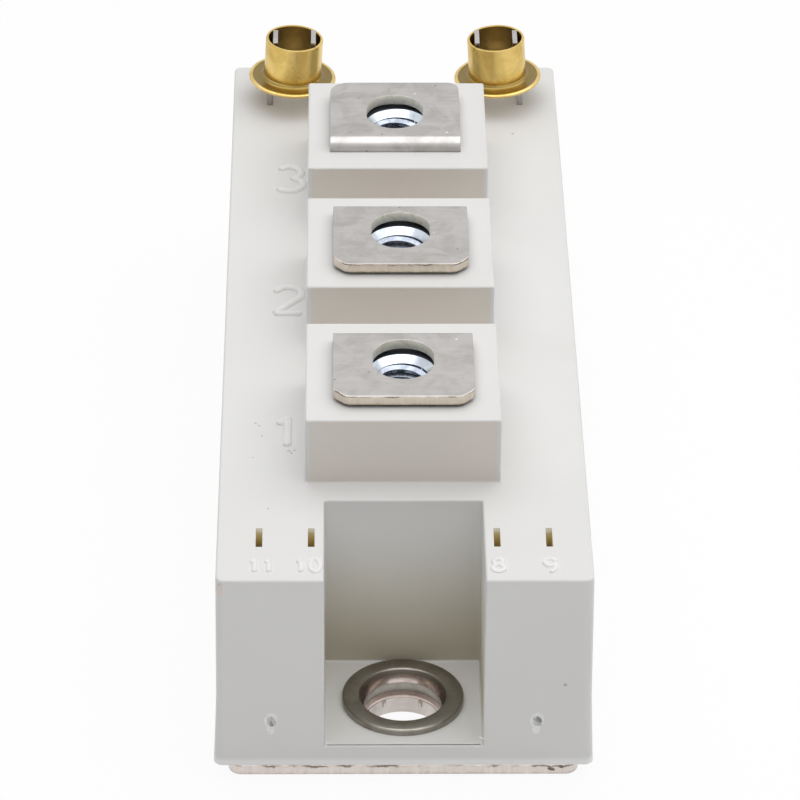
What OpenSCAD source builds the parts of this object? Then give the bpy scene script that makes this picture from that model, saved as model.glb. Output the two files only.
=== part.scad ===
// Half-bridge power module in the flat 34 mm wide screw-terminal package.
// Millimetres. X runs across the module, Y along it (terminal 1 at the -Y end), +Z up.
// The origin is the centre of the base plate's underside, which rests on the heatsink.

/* [Base plate] */
// Length of the base plate
base_l = 92; // [91:0.1:92.2]
// Width of the base plate
base_w = 31.5; // [30.5:0.1:31.7]
// Thickness of the base plate
base_t = 3; // [2.8:0.1:3.2]
// Corner radius of the base plate in plan
base_r = 1.2; // [0.6:0.1:2.5]
// Distance between the two mounting holes
hole_pitch = 80; // [79.5:0.1:80.5]
// Diameter of the screw hole through the base plate
hole_d = 6.84; // [6.4:0.02:6.9]

/* [Housing] */
// Length of the case at its lower rim
case_l = 94; // [93.6:0.1:94.4]
// Width of the case at its lower rim
case_w = 34; // [33.8:0.1:34.4]
// Width of the case where the lower draft meets the upper one
case_w_waist = 33.42; // [33.3:0.01:33.6]
// Width of the case at its flat top
case_w_top = 33.2; // [33:0.1:33.3]
// Length of the case at its flat top
case_l_top = 93.6; // [93.3:0.1:93.7]
// Corner radius of the case in plan
case_r = 0.7; // [0.4:0.1:1.2]
// Height of the lower rim above the heatsink
rim_z = 1.7; // [1.6:0.01:2.4]
// Height of the flat top above the heatsink
top_z = 21.8; // [21.4:0.1:22.2]
// Thickness of the top wall
top_wall = 2; // [1.8:0.1:2.4]
// Thickness of the side walls at the flat top
side_wall = 1.7; // [1.4:0.1:2]

/* [Screw recesses] */
// Width of each screw recess
recess_w = 14.17; // [13.6:0.01:14.2]
// Distance of the recess's inner wall from the centre of the module
recess_y = 34.15; // [34:0.05:34.4]
// Height of the ledge in the recess above the heatsink
ledge_z = 3.94; // [3.8:0.02:4.2]
// Thickness of the wall beside the recess
recess_wall = 0.85; // [0.7:0.05:0.85]

/* [Terminal blocks] */
// Spacing of the three main terminals
pitch = 23; // [22.8:0.1:23.2]
// Width of each block across the module
block_w = 17.62; // [17:0.02:18.4]
// Length of each block along the module
block_l = 16.6; // [16.2:0.1:17.2]
// Height of the blocks above the flat top
block_h = 6.65; // [6.3:0.05:7]
// Extra length on the front of the third block
block_extra = 0.7; // [0:0.1:1.2]

/* [Main terminals] */
// Width of the terminal strip
term_w = 12.8; // [11:0.1:13.2]
// Thickness of the terminal strip
term_t = 1; // [0.8:0.05:1.1]
// Gap between the bent-over plate and the top of the block
term_gap = 0.3; // [0.1:0.05:0.5]
// Outer radius of the bend
bend_r = 1.4; // [1.2:0.05:1.6]
// Width of the oblong screw hole
slot_w = 5.6; // [5.4:0.05:5.8]
// Length of the oblong screw hole
slot_l = 6.67; // [6.2:0.01:6.8]

/* [Nuts] */
// Width across the flats of the M5 nuts
nut_af = 8; // [7.8:0.1:8]
// Height of the nuts
nut_h = 4; // [3.5:0.1:4.7]
// Depth of the nut's top face below the top of the block
nut_drop = 0.15; // [0.1:0.05:1]
// Bore of the nuts at the crests of the M5 thread
nut_bore = 4.2; // [4.1:0.05:4.35]

/* [Auxiliary tabs] */
// Width of an auxiliary tab
tab_w = 2.8; // [2.6:0.1:2.8]
// Thickness of an auxiliary tab
tab_t = 0.5; // [0.4:0.05:0.5]
// Distance of the inner tabs and slots from the centre line
tab_in = 8.235; // [8.23:0.005:8.4]
// Distance of the outer tabs and slots from the centre line
tab_out = 12.86; // [12.8:0.01:12.9]
// Height of the top of the tabs above the heatsink
tab_top = 29; // [28:0.1:29.4]

/* [Shorting ferrules] */
// Outer diameter of the ferrule's neck
ferrule_d = 5.85; // [5.8:0.01:5.9]
// Diameter of the ferrule's flange
ferrule_flange_d = 8.9; // [8.4:0.05:9.2]
// Sheet thickness of the ferrule
ferrule_t = 0.3; // [0.2:0.05:0.3]
// Overall height of the ferrule
ferrule_h = 4.6; // [4.2:0.1:4.8]
// Height of the flange's underside above the flat top of the case
ferrule_lift = 2.4; // [1.5:0.1:2.6]
// Lean of each ferrule towards the centre line in degrees
ferrule_lean = 3.3; // [0:0.1:3.5]

/* [Mounting bushes] */
// Diameter of the bush's flange
bush_flange_d = 11; // [10.6:0.1:11.4]
// Thickness of the bush's flange
bush_flange_t = 0.645; // [0.5:0.005:0.8]
// Outer diameter of the sleeve
bush_d = 8.7; // [8.6:0.05:8.7]
// Upper bore of the sleeve
bush_bore = 7.8; // [7.6:0.05:7.9]

/* [Substrates and chips] */
// Width of a substrate across the module
dcb_w = 28; // [27.8:0.1:28.4]
// Length of a substrate along the module
dcb_l = 29.6; // [29.2:0.1:29.8]
// Thickness of the copper on both sides of the ceramic
foil_t = 0.3; // [0.2:0.05:0.3]
// Thickness of the ceramic
ceramic_t = 0.63; // [0.38:0.01:0.63]
// Thickness of the chips
chip_t = 0.25; // [0.15:0.05:0.3]
// Side of a transistor chip
igbt_s = 8.2; // [7:0.1:8.2]
// Diameter of the bond wires
wire_d = 0.4; // [0.3:0.05:0.4]
// Height of the gel's surface above the heatsink
gel_z = 12.5; // [10:0.5:14]

/* [Hidden] */
$fn = 64;
eps = 0.01;

// Heights that follow from the dimensions above.
ceiling_z = top_z - top_wall;              // inside of the top wall
block_z = top_z + block_h;                 // top of the terminal blocks
plate_z = block_z + term_gap;              // underside of the bent-over plates
plate_top = plate_z + term_t;
nut_z = block_z - nut_drop - nut_h;        // floor of the nut pockets
waist_z = 9;                               // where the two drafts of the case meet
case_l_waist = 93.8;
copper_z = base_t + foil_t + ceramic_t;    // top of the ceramic
pad_z = copper_z + foil_t;                 // top of the circuit copper
chip_z = pad_z + chip_t;                   // top of the chips

// Inside of the case.
cavity_x = case_w_top / 2 - side_wall;     // half width
cavity_y = recess_y - 1.55;                // half length between the recesses
corner_x = recess_w / 2 + recess_wall;     // inner side of the corner spaces
corner_y = case_l_top / 2 - 1.6;           // far side of the corner spaces

// Terminal geometry: centre, side on which the strip dips into the case (+1 rear, -1 front),
// reach of the free end and of the bend from the hole's centre, play of the plate across.
term_y = [-pitch, 0, pitch];
term_dir = [1, 1, -1];
term_tail = [6.23, 6.23, 5.98];
term_reach = [5.11, 5.11, 5.8];
term_play = [0.08, 0.09, -0.22];
corner_clip = 1.2;                         // free corners of the first two terminals
corner_round = [1.9, 1.2];                 // left and right free corners of the third
leg_gap = 0.05;

// Auxiliary tabs: slots stand in line with the mounting holes.
tab_y = hole_pitch / 2 + 0.07;
tab_low = 6;
slot_play = 0.05;
lead_d = 0.8;

// Ferrules stand over the middle of each pair of tabs.
ferrule_x = (tab_in + tab_out) / 2;
ferrule_z = top_z + ferrule_lift;
ferrule_r = 0.6;                           // root radius between neck and flange

// Bush seat in the base plate.
bush_foot = 1.65;
bush_seat_d = bush_d + 0.1;

// Substrate centres: the lower switch sits at the front, the upper one at the rear, turned round.
dcb_y = dcb_l / 2 + 0.6;
chip_row = 7.7;                            // chips lie this far either side of a substrate's centre
igbt_x = -5.4;
diode_x = 2.3;
diode_w = 5;
diode_l = 6.4;

nickel = "#b9b3ab";
dark_nickel = "#77746a";
zinc = "#b4bcc6";
brass = "#c29a3c";
plastic = "#e6e4df";
copper = "#c07a52";
silicon = "#4d525c";
aluminium = "#c9ccd0";

// ---------------------------------------------------------------- shared shapes

// Rectangle with round corners, centred.
module rounded_rect(w, l, r) {
    square([w - 2 * r, l], center = true);
    square([w, l - 2 * r], center = true);
    for (x = [-1, 1], y = [-1, 1])
        translate([x * (w / 2 - r), y * (l / 2 - r)]) circle(r);
}

// Box between two corners.
module box(a, b) {
    translate(a) cube(b - a);
}

// Square bar that follows a chain of points along the axes.
module bar(points, d) {
    for (i = [0 : len(points) - 2]) {
        p = points[i];
        q = points[i + 1];
        h = d / 2;
        box([min(p.x, q.x) - h, min(p.y, q.y) - h, min(p.z, q.z) - h],
            [max(p.x, q.x) + h, max(p.y, q.y) + h, max(p.z, q.z) + h]);
    }
}

// ---------------------------------------------------------------- base plate

module base_plate() {
    color(nickel) difference() {
        linear_extrude(base_t) rounded_rect(base_w, base_l, base_r);
        for (s = [-1, 1]) translate([0, s * hole_pitch / 2, 0]) {
            translate([0, 0, -eps]) cylinder(h = base_t + 1, d = hole_d);
            // seat for the foot of the bush
            translate([0, 0, bush_foot]) cylinder(h = base_t, d = bush_seat_d);
        }
    }
}

// ---------------------------------------------------------------- housing

// Half section of the case with its two-stage draft, given the sizes at rim, waist and top.
function drafted(rim, waist, top) = [
    [-rim / 2, rim_z], [rim / 2, rim_z], [waist / 2, waist_z],
    [top / 2, top_z], [-top / 2, top_z], [-waist / 2, waist_z]];

// Solid outer form of the case below the flat top.
module case_form() {
    intersection() {
        rotate([90, 0, 0]) linear_extrude(case_l + 2, center = true)
            polygon(drafted(case_w, case_w_waist, case_w_top));
        rotate([90, 0, 90]) linear_extrude(case_w + 2, center = true)
            polygon(drafted(case_l, case_l_waist, case_l_top));
        translate([0, 0, rim_z]) linear_extrude(top_z - rim_z) rounded_rect(case_w, case_l, case_r);
    }
}

// Raised block that carries nut and terminal k.
module block(k) {
    front = block_l / 2 + (k == 2 ? block_extra : 0);
    box([-block_w / 2, term_y[k] - front, top_z - 1], [block_w / 2, term_y[k] + block_l / 2, block_z]);
}

// Space inside the case: a hall between the recesses and a shaft in each corner.
module cavity(z0, z1) {
    box([-cavity_x, -cavity_y, z0], [cavity_x, cavity_y, z1]);
    for (x = [0, 1], y = [0, 1]) mirror([x, 0, 0]) mirror([0, y, 0])
        box([corner_x, cavity_y - 1, z0], [cavity_x, corner_y, z1]);
}

// Recess for the mounting screw, open to the end and to the top.
module screw_recess() {
    box([-recess_w / 2, recess_y, ledge_z], [recess_w / 2, case_l / 2 + 1, top_z + 1]);
    translate([0, hole_pitch / 2, rim_z - 1]) cylinder(h = ledge_z - rim_z + 2, d = bush_seat_d);
}

// Openings for the tabs; the front ones stay empty.
module tab_slots() {
    for (x = [-tab_out, -tab_in, tab_in, tab_out], y = [-tab_y, tab_y])
        translate([x, y, top_z - top_wall / 2])
            cube([tab_t + 2 * slot_play, tab_w + 2 * slot_play, top_wall + 2], center = true);
}

// Nut pocket, screw run-out below it and the slit for the terminal's leg.
module block_openings(k) {
    r = term_reach[k];
    translate([0, term_y[k], 0]) {
        translate([0, 0, nut_z]) cylinder(h = block_z, d = (nut_af + 0.1) / cos(30), $fn = 6);
        translate([0, 0, ceiling_z + 1]) cylinder(h = block_z, d = 5.6);
        if (term_dir[k] > 0)
            box([-term_w / 2 - 0.15, nut_af / 2, ceiling_z - 1],
                [term_w / 2 + 0.15, r + leg_gap, block_z + 1]);
        else
            box([-term_w / 2 - 0.3, -r - leg_gap, ceiling_z - 1],
                [term_w / 2 + 0.15, -r + term_t + leg_gap, block_z + 1]);
    }
}

module housing() {
    color(plastic) difference() {
        union() {
            case_form();
            for (k = [0 : 2]) block(k);
        }
        // rebate that drops over the base plate
        translate([0, 0, rim_z - 1]) linear_extrude(base_t - rim_z + 1)
            rounded_rect(base_w + 0.2, base_l + 0.2, base_r + 0.1);
        cavity(base_t - 1, ceiling_z);
        for (y = [0, 1]) mirror([0, y, 0]) screw_recess();
        tab_slots();
        for (k = [0 : 2]) block_openings(k);
    }
}

// ---------------------------------------------------------------- mounting bushes

// Flanged eyelet, turned from its half section.
module bush(side) {
    r = bush_bore / 2;
    f = bush_flange_d / 2;
    z = ledge_z + bush_flange_t;
    color(dark_nickel) translate([0, side * hole_pitch / 2, 0]) rotate_extrude($fn = 96) polygon([
        [r, 3.2], [r, z - 0.4], [r + 0.12, z - 0.12], [r + 0.4, z],
        [f - 0.25, z], [f - 0.07, z - 0.07], [f, z - 0.25], [f, ledge_z],
        [bush_d / 2, ledge_z], [bush_d / 2, bush_foot],
        [r - 0.4, bush_foot], [r - 0.4, 2.15], [r - 0.25, 2.3], [r - 0.25, 3.05]]);
}

module mounting_bush_front() { bush(-1); }
module mounting_bush_rear() { bush(1); }

// ---------------------------------------------------------------- main terminals

// Bent strip of terminal k: plate over the nut, quarter bend and leg down to height z.
module strip_section(k, z) {
    tail = term_tail[k];
    reach = term_reach[k];
    translate([-tail, plate_z]) square([tail + reach - bend_r, term_t]);
    translate([reach - bend_r, plate_top - bend_r]) intersection() {
        difference() {
            circle(bend_r);
            circle(bend_r - term_t);
        }
        square(bend_r);
    }
    translate([reach - term_t, z]) square([term_t, plate_top - bend_r - z]);
}

// Waste cut from a free corner at the origin: a clip on the first two terminals, and what
// lies outside a radius on the third. Side 0 is the left corner, 1 the right one.
module corner_waste(k, side) {
    r = corner_round[side];
    mirror([side, 0]) if (k < 2)
        polygon([[-eps, -eps], [corner_clip, -eps], [corner_clip, 0], [0, corner_clip], [-eps, corner_clip]]);
    else
        difference() {
            translate([-eps, -eps]) square(r + eps);
            translate([r, r]) circle(r);
        }
}

// Plan outline of terminal k with its free corners and oblong hole.
module strip_outline(k) {
    tail = term_tail[k];
    reach = term_reach[k];
    difference() {
        translate([-term_w / 2, -tail]) square([term_w, tail + reach]);
        for (side = [0, 1]) translate([(side - 0.5) * term_w, -tail]) corner_waste(k, side);
        for (y = [-1, 1]) translate([0, y * (slot_l - slot_w) / 2]) circle(d = slot_w);
        square([slot_w, slot_l - slot_w], center = true);
    }
}

module terminal_head(k, z) {
    translate([term_play[k], term_y[k], 0]) mirror([0, term_dir[k] < 0 ? 1 : 0, 0]) intersection() {
        rotate([90, 0, 90]) linear_extrude(term_w, center = true) strip_section(k, z);
        linear_extrude(plate_top + 1) strip_outline(k);
    }
}

// Leg's outer and inner faces along the module.
function leg_y(k) = [term_y[k] + term_dir[k] * (term_reach[k] - term_t), term_y[k] + term_dir[k] * term_reach[k]];

// Phase terminal: lands between the chips of the lower switch, on its collector island.
module terminal_1() {
    y = leg_y(0);
    color(nickel) union() {
        terminal_head(0, 12);
        box([-4.5, y[0], pad_z], [0.5, y[1], 12.5]);
        box([-4.5, y[0], pad_z], [0.5, y[0] + 4, pad_z + term_t]);
    }
}

// Negative terminal: steps forward over the gap and lands on the lower emitter island.
module terminal_2() {
    y = leg_y(1);
    color(nickel) union() {
        terminal_head(1, 13);
        box([4, y[0], 13], [11.5, y[1], 15]);
        box([8.5, y[0], 7], [11.5, y[1], 14]);
        box([8.5, -4, 7], [11.5, y[1], 8]);
        box([8.5, -4, pad_z], [11.5, -3, 8]);
        box([8.5, -5.5, pad_z], [11.5, -3, pad_z + term_t]);
    }
}

// Positive terminal: lands between the chips of the upper switch, on its collector island.
module terminal_3() {
    y = leg_y(2);
    color(nickel) union() {
        terminal_head(2, 12);
        box([-0.5, y[1], pad_z], [4.5, y[0], 12.5]);
        box([-0.5, y[0] - 4, pad_z], [4.5, y[0], pad_z + term_t]);
    }
}

// ---------------------------------------------------------------- nuts

// Hexagon nut with chamfered corners and countersunk thread mouths.
module nut(k) {
    r = nut_af / 2;
    corner = r / cos(30);
    color(zinc) translate([0, term_y[k], nut_z]) difference() {
        intersection() {
            cylinder(h = nut_h, r = corner, $fn = 6);
            rotate_extrude() polygon([[0, 0], [3.7, 0], [corner, 0.5], [corner, nut_h - 0.5],
                                      [3.7, nut_h], [0, nut_h]]);
        }
        translate([0, 0, -eps]) cylinder(h = nut_h + 1, d = nut_bore);
        for (z = [0, nut_h]) translate([0, 0, z]) mirror([0, 0, z > 0 ? 0 : 1]) translate([0, 0, -0.55])
            cylinder(h = 0.6, d1 = nut_bore, d2 = 5.7);
    }
}

module nut_1() { nut(0); }
module nut_2() { nut(1); }
module nut_3() { nut(2); }

// ---------------------------------------------------------------- auxiliary tabs

// Tab at x0 whose top is pinched in to x1 at the ferrule's root and x2 at its rim.
module aux_tab(x0, x1, x2) {
    line = [[x0, tab_low], [x0, top_z + 0.2], [x1, ferrule_z + 0.7], [x2, tab_top]];
    h = tab_t / 2;
    color(nickel) translate([0, tab_y + tab_w / 2, 0]) rotate([90, 0, 0]) linear_extrude(tab_w)
        polygon(concat([for (p = line) p - [h, 0]], [for (i = [3 : -1 : 0]) line[i] + [h, 0]]));
}

module gate_tab_lower() { aux_tab(-tab_out, -12.42, -12.22); }
module emitter_tab_lower() { aux_tab(-tab_in, -8.55, -8.36); }
module emitter_tab_upper() { aux_tab(tab_in, 8.55, 8.36); }
module gate_tab_upper() { aux_tab(tab_out, 12.42, 12.22); }

// ---------------------------------------------------------------- shorting ferrules

// Drawn brass eyelet: straight neck flared out into a flat flange.
module ferrule(side) {
    ro = ferrule_d / 2;
    t = ferrule_t;
    q = ferrule_r;
    color(brass) translate([side * ferrule_x, tab_y, ferrule_z]) rotate([0, -side * ferrule_lean, 0])
        rotate_extrude($fn = 96) {
            translate([ro - t, t + q]) square([t, ferrule_h - t - q]);
            translate([ro + q, 0]) square([ferrule_flange_d / 2 - ro - q, t]);
            translate([ro + q, t + q]) intersection() {
                difference() {
                    circle(q + t);
                    circle(q);
                }
                translate([-q - t, -q - t]) square(q + t);
            }
        }
}

module ferrule_left() { ferrule(-1); }
module ferrule_right() { ferrule(1); }

// ---------------------------------------------------------------- substrates and chips

// Places one substrate's parts: side -1 is the front (lower switch), +1 the rear one turned round.
module on_substrate(side) {
    translate([0, side * dcb_y, 0]) rotate([0, 0, side > 0 ? 180 : 0]) children();
}

module foil(side) {
    color(copper) on_substrate(side) translate([0, 0, base_t]) linear_extrude(foil_t)
        square([dcb_w - 1, dcb_l - 1], center = true);
}

module ceramic(side) {
    color("white") on_substrate(side) translate([0, 0, base_t + foil_t]) linear_extrude(ceramic_t)
        square([dcb_w, dcb_l], center = true);
}

// Gate track, auxiliary emitter track, collector island, emitter island.
module circuit(side) {
    l = dcb_l / 2 - 0.7;
    color(copper) on_substrate(side) for (x = [[-13.5, -12.1], [-11.6, -10.5], [-10.1, 5.1], [5.8, 13.5]])
        box([x[0], -l, copper_z], [x[1], l, pad_z]);
}

module igbt_chips(side) {
    color(silicon) on_substrate(side) for (y = [-chip_row, chip_row])
        translate([igbt_x, y, pad_z + chip_t / 2]) cube([igbt_s, igbt_s, chip_t], center = true);
}

module diode_chips(side) {
    color(silicon) on_substrate(side) for (y = [-chip_row, chip_row])
        translate([diode_x, y, pad_z + chip_t / 2]) cube([diode_w, diode_l, chip_t], center = true);
}

module foil_upper() { foil(1); }
module foil_lower() { foil(-1); }
module ceramic_upper() { ceramic(1); }
module ceramic_lower() { ceramic(-1); }
module circuit_upper() { circuit(1); }
module circuit_lower() { circuit(-1); }
module igbt_chips_upper() { igbt_chips(1); }
module igbt_chips_lower() { igbt_chips(-1); }
module diode_chips_upper() { diode_chips(1); }
module diode_chips_lower() { diode_chips(-1); }

// ---------------------------------------------------------------- bond wires

// Half-ring wire across X from a foot on a chip at x0 to one at x1; drop extends the foot at x1
// from chip level to the copper.
module bond(x0, x1, y, drop) {
    r = abs(x1 - x0) / 2;
    translate([(x0 + x1) / 2, y, chip_z]) rotate([90, 0, 0]) rotate_extrude(angle = 180)
        translate([r, 0]) circle(d = wire_d, $fn = 16);
    if (drop) translate([x1, y, pad_z]) cylinder(h = chip_t, d = wire_d, $fn = 16);
}

module bond_wires(side) {
    color(aluminium) on_substrate(side) for (s = [-1, 1]) {
        y = s * chip_row;
        for (d = [-2, 0, 2]) {
            bond(-3.2, 1.0, y + d, false);     // transistor to diode
            bond(2.4, 7.4, y + d + 0.5, true);    // diode to emitter island
        }
        bond(-9, -12.8, y + 1.5, true);        // gate
        bond(-7.4, -11.05, y - 1.5, true);     // auxiliary emitter
    }
}

module bond_wires_upper() { bond_wires(1); }
module bond_wires_lower() { bond_wires(-1); }

// Wires over the gap, from the upper emitter island to the lower collector island.
module link_wires() {
    color(aluminium) for (x = [-9.4 : 0.75 : -6.3]) translate([x, 0, pad_z]) rotate([90, 0, 90])
        rotate_extrude(angle = 180) translate([2.4, 0]) circle(d = wire_d, $fn = 16);
}

// ---------------------------------------------------------------- leads from tabs to substrates

// Stamped lead on the inner face of a gate tab, running to y_end on the gate track.
module gate_lead(side, y_end) {
    x = side * (tab_out - tab_t / 2 - lead_d / 2);
    z = 9;
    color(copper) bar([[x, tab_y + 1, z], [x, 36, z], [side * 12.8, 36, z],
                       [side * 12.8, y_end, z], [side * 12.8, y_end, pad_z + lead_d / 2]], lead_d);
}

// Stamped lead on the outer face of an emitter tab, running to y_end on the auxiliary emitter track.
module emitter_lead(side, y_end) {
    x = side * (tab_in + tab_t / 2 + lead_d / 2);
    z = 7.5;
    color(copper) bar([[x, tab_y + 1, z], [x, 34, z], [side * 11.05, 34, z],
                       [side * 11.05, y_end, z], [side * 11.05, y_end, pad_z + lead_d / 2]], lead_d);
}

module gate_lead_lower() { gate_lead(-1, -20); }
module emitter_lead_lower() { emitter_lead(-1, -14); }
module emitter_lead_upper() { emitter_lead(1, 12); }
module gate_lead_upper() { gate_lead(1, 20); }

// ---------------------------------------------------------------- gel

// Silicone poured round everything on the base plate, up to the gel line.
module gel() {
    color("#d9e4e8", 0.4) difference() {
        cavity(base_t, gel_z);
        for (s = [-1, 1]) {
            foil(s);
            ceramic(s);
            circuit(s);
            igbt_chips(s);
            diode_chips(s);
            bond_wires(s);
        }
        link_wires();
        gate_lead_lower();
        emitter_lead_lower();
        emitter_lead_upper();
        gate_lead_upper();
        terminal_1();
        terminal_2();
        terminal_3();
        gate_tab_lower();
        emitter_tab_lower();
        emitter_tab_upper();
        gate_tab_upper();
    }
}

base_plate();
housing();
mounting_bush_front();
mounting_bush_rear();
terminal_1();
terminal_2();
terminal_3();
nut_1();
nut_2();
nut_3();
gate_tab_lower();
emitter_tab_lower();
emitter_tab_upper();
gate_tab_upper();
ferrule_left();
ferrule_right();
foil_upper();
foil_lower();
ceramic_upper();
ceramic_lower();
circuit_upper();
circuit_lower();
igbt_chips_upper();
igbt_chips_lower();
diode_chips_upper();
diode_chips_lower();
bond_wires_upper();
bond_wires_lower();
link_wires();
gate_lead_lower();
emitter_lead_lower();
emitter_lead_upper();
gate_lead_upper();
gel();
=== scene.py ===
import math

import bmesh
import bpy
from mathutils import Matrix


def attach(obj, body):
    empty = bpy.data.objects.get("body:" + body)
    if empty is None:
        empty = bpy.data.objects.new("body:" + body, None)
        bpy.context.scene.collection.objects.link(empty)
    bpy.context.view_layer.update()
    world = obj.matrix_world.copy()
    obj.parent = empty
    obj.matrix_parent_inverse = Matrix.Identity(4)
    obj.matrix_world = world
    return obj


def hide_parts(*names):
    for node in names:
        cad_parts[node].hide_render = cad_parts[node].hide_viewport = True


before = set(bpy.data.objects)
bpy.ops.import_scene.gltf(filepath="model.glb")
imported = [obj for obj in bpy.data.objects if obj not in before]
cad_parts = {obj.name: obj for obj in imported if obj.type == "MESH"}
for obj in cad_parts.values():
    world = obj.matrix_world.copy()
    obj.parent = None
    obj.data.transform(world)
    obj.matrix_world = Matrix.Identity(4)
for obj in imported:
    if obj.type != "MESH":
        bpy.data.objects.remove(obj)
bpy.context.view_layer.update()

# ---- Base plate ---------------------------------------------------------------------------
# A 3 mm copper plate, stamped and nickel plated, that the whole module stands on. Its two
# screw holes are counterbored from above for the feet of the bushes.

mm = 0.001


def box_between(name, low, high):
    """A cube primitive that fills the space between two corners in millimetres."""
    bpy.ops.object.select_all(action="DESELECT")
    bpy.ops.mesh.primitive_cube_add(
        size=mm,
        location=[(a + b) / 2 * mm for a, b in zip(low, high)],
        scale=[b - a for a, b in zip(low, high)],
    )
    piece = bpy.context.object
    piece.name = piece.data.name = name
    bpy.ops.object.transform_apply(location=True, rotation=True, scale=True)
    return piece


def rod(name, at, radius, z0, z1, sides=64, turn=0.0):
    """An upright cylinder primitive between two heights in millimetres."""
    bpy.ops.object.select_all(action="DESELECT")
    bpy.ops.mesh.primitive_cylinder_add(
        vertices=sides,
        radius=radius * mm,
        depth=(z1 - z0) * mm,
        location=(at[0] * mm, at[1] * mm, (z0 + z1) / 2 * mm),
        rotation=(0, 0, turn),
    )
    piece = bpy.context.object
    piece.name = piece.data.name = name
    bpy.ops.object.transform_apply(location=True, rotation=True, scale=True)
    return piece


def edit(piece):
    """Open a piece for editing with nothing selected."""
    bpy.ops.object.select_all(action="DESELECT")
    piece.select_set(True)
    bpy.context.view_layer.objects.active = piece
    bpy.ops.object.mode_set(mode="EDIT")
    bpy.ops.mesh.select_all(action="DESELECT")


def pick(kind, test):
    """Select the faces, edges or vertices whose middle in millimetres and normal pass a test.

    An edge gives its own direction in place of a normal.
    """
    bpy.ops.mesh.select_mode(type=kind)
    bpy.ops.mesh.select_all(action="DESELECT")
    data = bpy.context.object.data
    mesh = bmesh.from_edit_mesh(data)
    for item in {"VERT": mesh.verts, "EDGE": mesh.edges, "FACE": mesh.faces}[kind]:
        if kind == "VERT":
            middle, way = item.co, item.normal
        elif kind == "EDGE":
            a, b = (v.co for v in item.verts)
            middle, way = (a + b) / 2, (b - a).normalized()
        else:
            middle, way = item.calc_center_median(), item.normal
        if test(middle / mm, way):
            item.select_set(True)
    mesh.select_flush_mode()
    bmesh.update_edit_mesh(data)


def pick_sharp(degrees):
    """Select the edges where two faces meet at more than an angle."""
    bpy.ops.mesh.select_mode(type="EDGE")
    bpy.ops.mesh.select_all(action="DESELECT")
    bpy.ops.mesh.edges_select_sharp(sharpness=math.radians(degrees))


def bevel(width, steps=2):
    """Round the selected edges to a width in millimetres."""
    bpy.ops.mesh.bevel(offset=width * mm, segments=steps, affect="EDGES", clamp_overlap=False)


def cut(piece, cutter, way="DIFFERENCE"):
    """Cut a piece with another mesh, which is used up."""
    bpy.ops.object.select_all(action="DESELECT")
    bpy.context.view_layer.objects.active = piece
    step = piece.modifiers.new("cut", "BOOLEAN")
    step.solver = "EXACT"
    step.operation = way
    step.object = cutter
    bpy.ops.object.modifier_apply(modifier=step.name)
    bpy.data.objects.remove(cutter)


def dress(piece, slot, *materials):
    """Give a finished piece its shading, its materials and its place on the module."""
    bpy.ops.object.select_all(action="DESELECT")
    piece.select_set(True)
    bpy.context.view_layer.objects.active = piece
    bpy.ops.object.shade_smooth_by_angle(angle=math.radians(40))
    step = piece.modifiers.new("flat faces stay flat", "WEIGHTED_NORMAL")
    step.keep_sharp = True
    bpy.ops.object.modifier_apply(modifier=step.name)
    for n, material in enumerate(materials):
        if n < len(piece.data.materials):
            piece.data.materials[n] = material
        else:
            piece.data.materials.append(material)
    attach(piece, "root")


def shader_of(name, colour, metallic, roughness):
    """A new material; returns it, its nodes, its links and its Principled shader."""
    material = bpy.data.materials.new(name)
    material.use_nodes = True
    nodes, links = material.node_tree.nodes, material.node_tree.links
    shader = nodes["Principled BSDF"]
    shader.inputs["Base Color"].default_value = (*colour, 1)
    shader.inputs["Metallic"].default_value = metallic
    shader.inputs["Roughness"].default_value = roughness
    return material, nodes, links, shader


def add(nodes, kind, settings=None, **inputs):
    """A node with its settings and the values of its inputs."""
    node = nodes.new(kind)
    for key, value in (settings or {}).items():
        setattr(node, key, value)
    for key, value in inputs.items():
        node.inputs[key.replace("_", " ")].default_value = value
    return node


def group(name, takes, gives):
    """An empty shader group with named inputs and outputs, and its nodes and links."""
    tree = bpy.data.node_groups.new(name, "ShaderNodeTree")
    for label, kind, value in takes:
        socket = tree.interface.new_socket(label, in_out="INPUT", socket_type="NodeSocket" + kind)
        socket.default_value = value
    for label, kind in gives:
        tree.interface.new_socket(label, in_out="OUTPUT", socket_type="NodeSocket" + kind)
    return tree, tree.nodes, tree.links, tree.nodes.new("NodeGroupInput"), tree.nodes.new("NodeGroupOutput")


def place(nodes, tree, **inputs):
    """A shader group placed in a material with its own values."""
    node = nodes.new("ShaderNodeGroup")
    node.node_tree = tree
    for key, value in inputs.items():
        node.inputs[key.replace("_", " ")].default_value = value
    return node


# Cloudy tarnish: two colours and two roughnesses mixed by soft noise over the object.
tarnish, nodes, links, taken, given = group(
    "tarnish",
    [
        ("Size", "Float", 300.0),
        ("Clean", "Color", (0.6, 0.6, 0.6, 1)),
        ("Stained", "Color", (0.5, 0.5, 0.5, 1)),
        ("Clean Roughness", "Float", 0.3),
        ("Stained Roughness", "Float", 0.45),
        ("Grain", "Float", 0.15),
    ],
    [("Color", "Color"), ("Roughness", "Float"), ("Height", "Float")],
)
where = add(nodes, "ShaderNodeTexCoord")
cloud = add(nodes, "ShaderNodeTexNoise", Detail=5.0, Roughness=0.62, Distortion=0.6)
fine = add(nodes, "ShaderNodeTexNoise", Scale=9000.0, Detail=2.0)
shape = add(nodes, "ShaderNodeMapRange", {"interpolation_type": "SMOOTHSTEP"}, From_Min=0.36, From_Max=0.68)
grainy = add(nodes, "ShaderNodeMix", {"data_type": "FLOAT"})
tint = add(nodes, "ShaderNodeMix", {"data_type": "RGBA"})
rough = add(nodes, "ShaderNodeMix", {"data_type": "FLOAT"})
links.new(where.outputs["Object"], cloud.inputs["Vector"])
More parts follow.
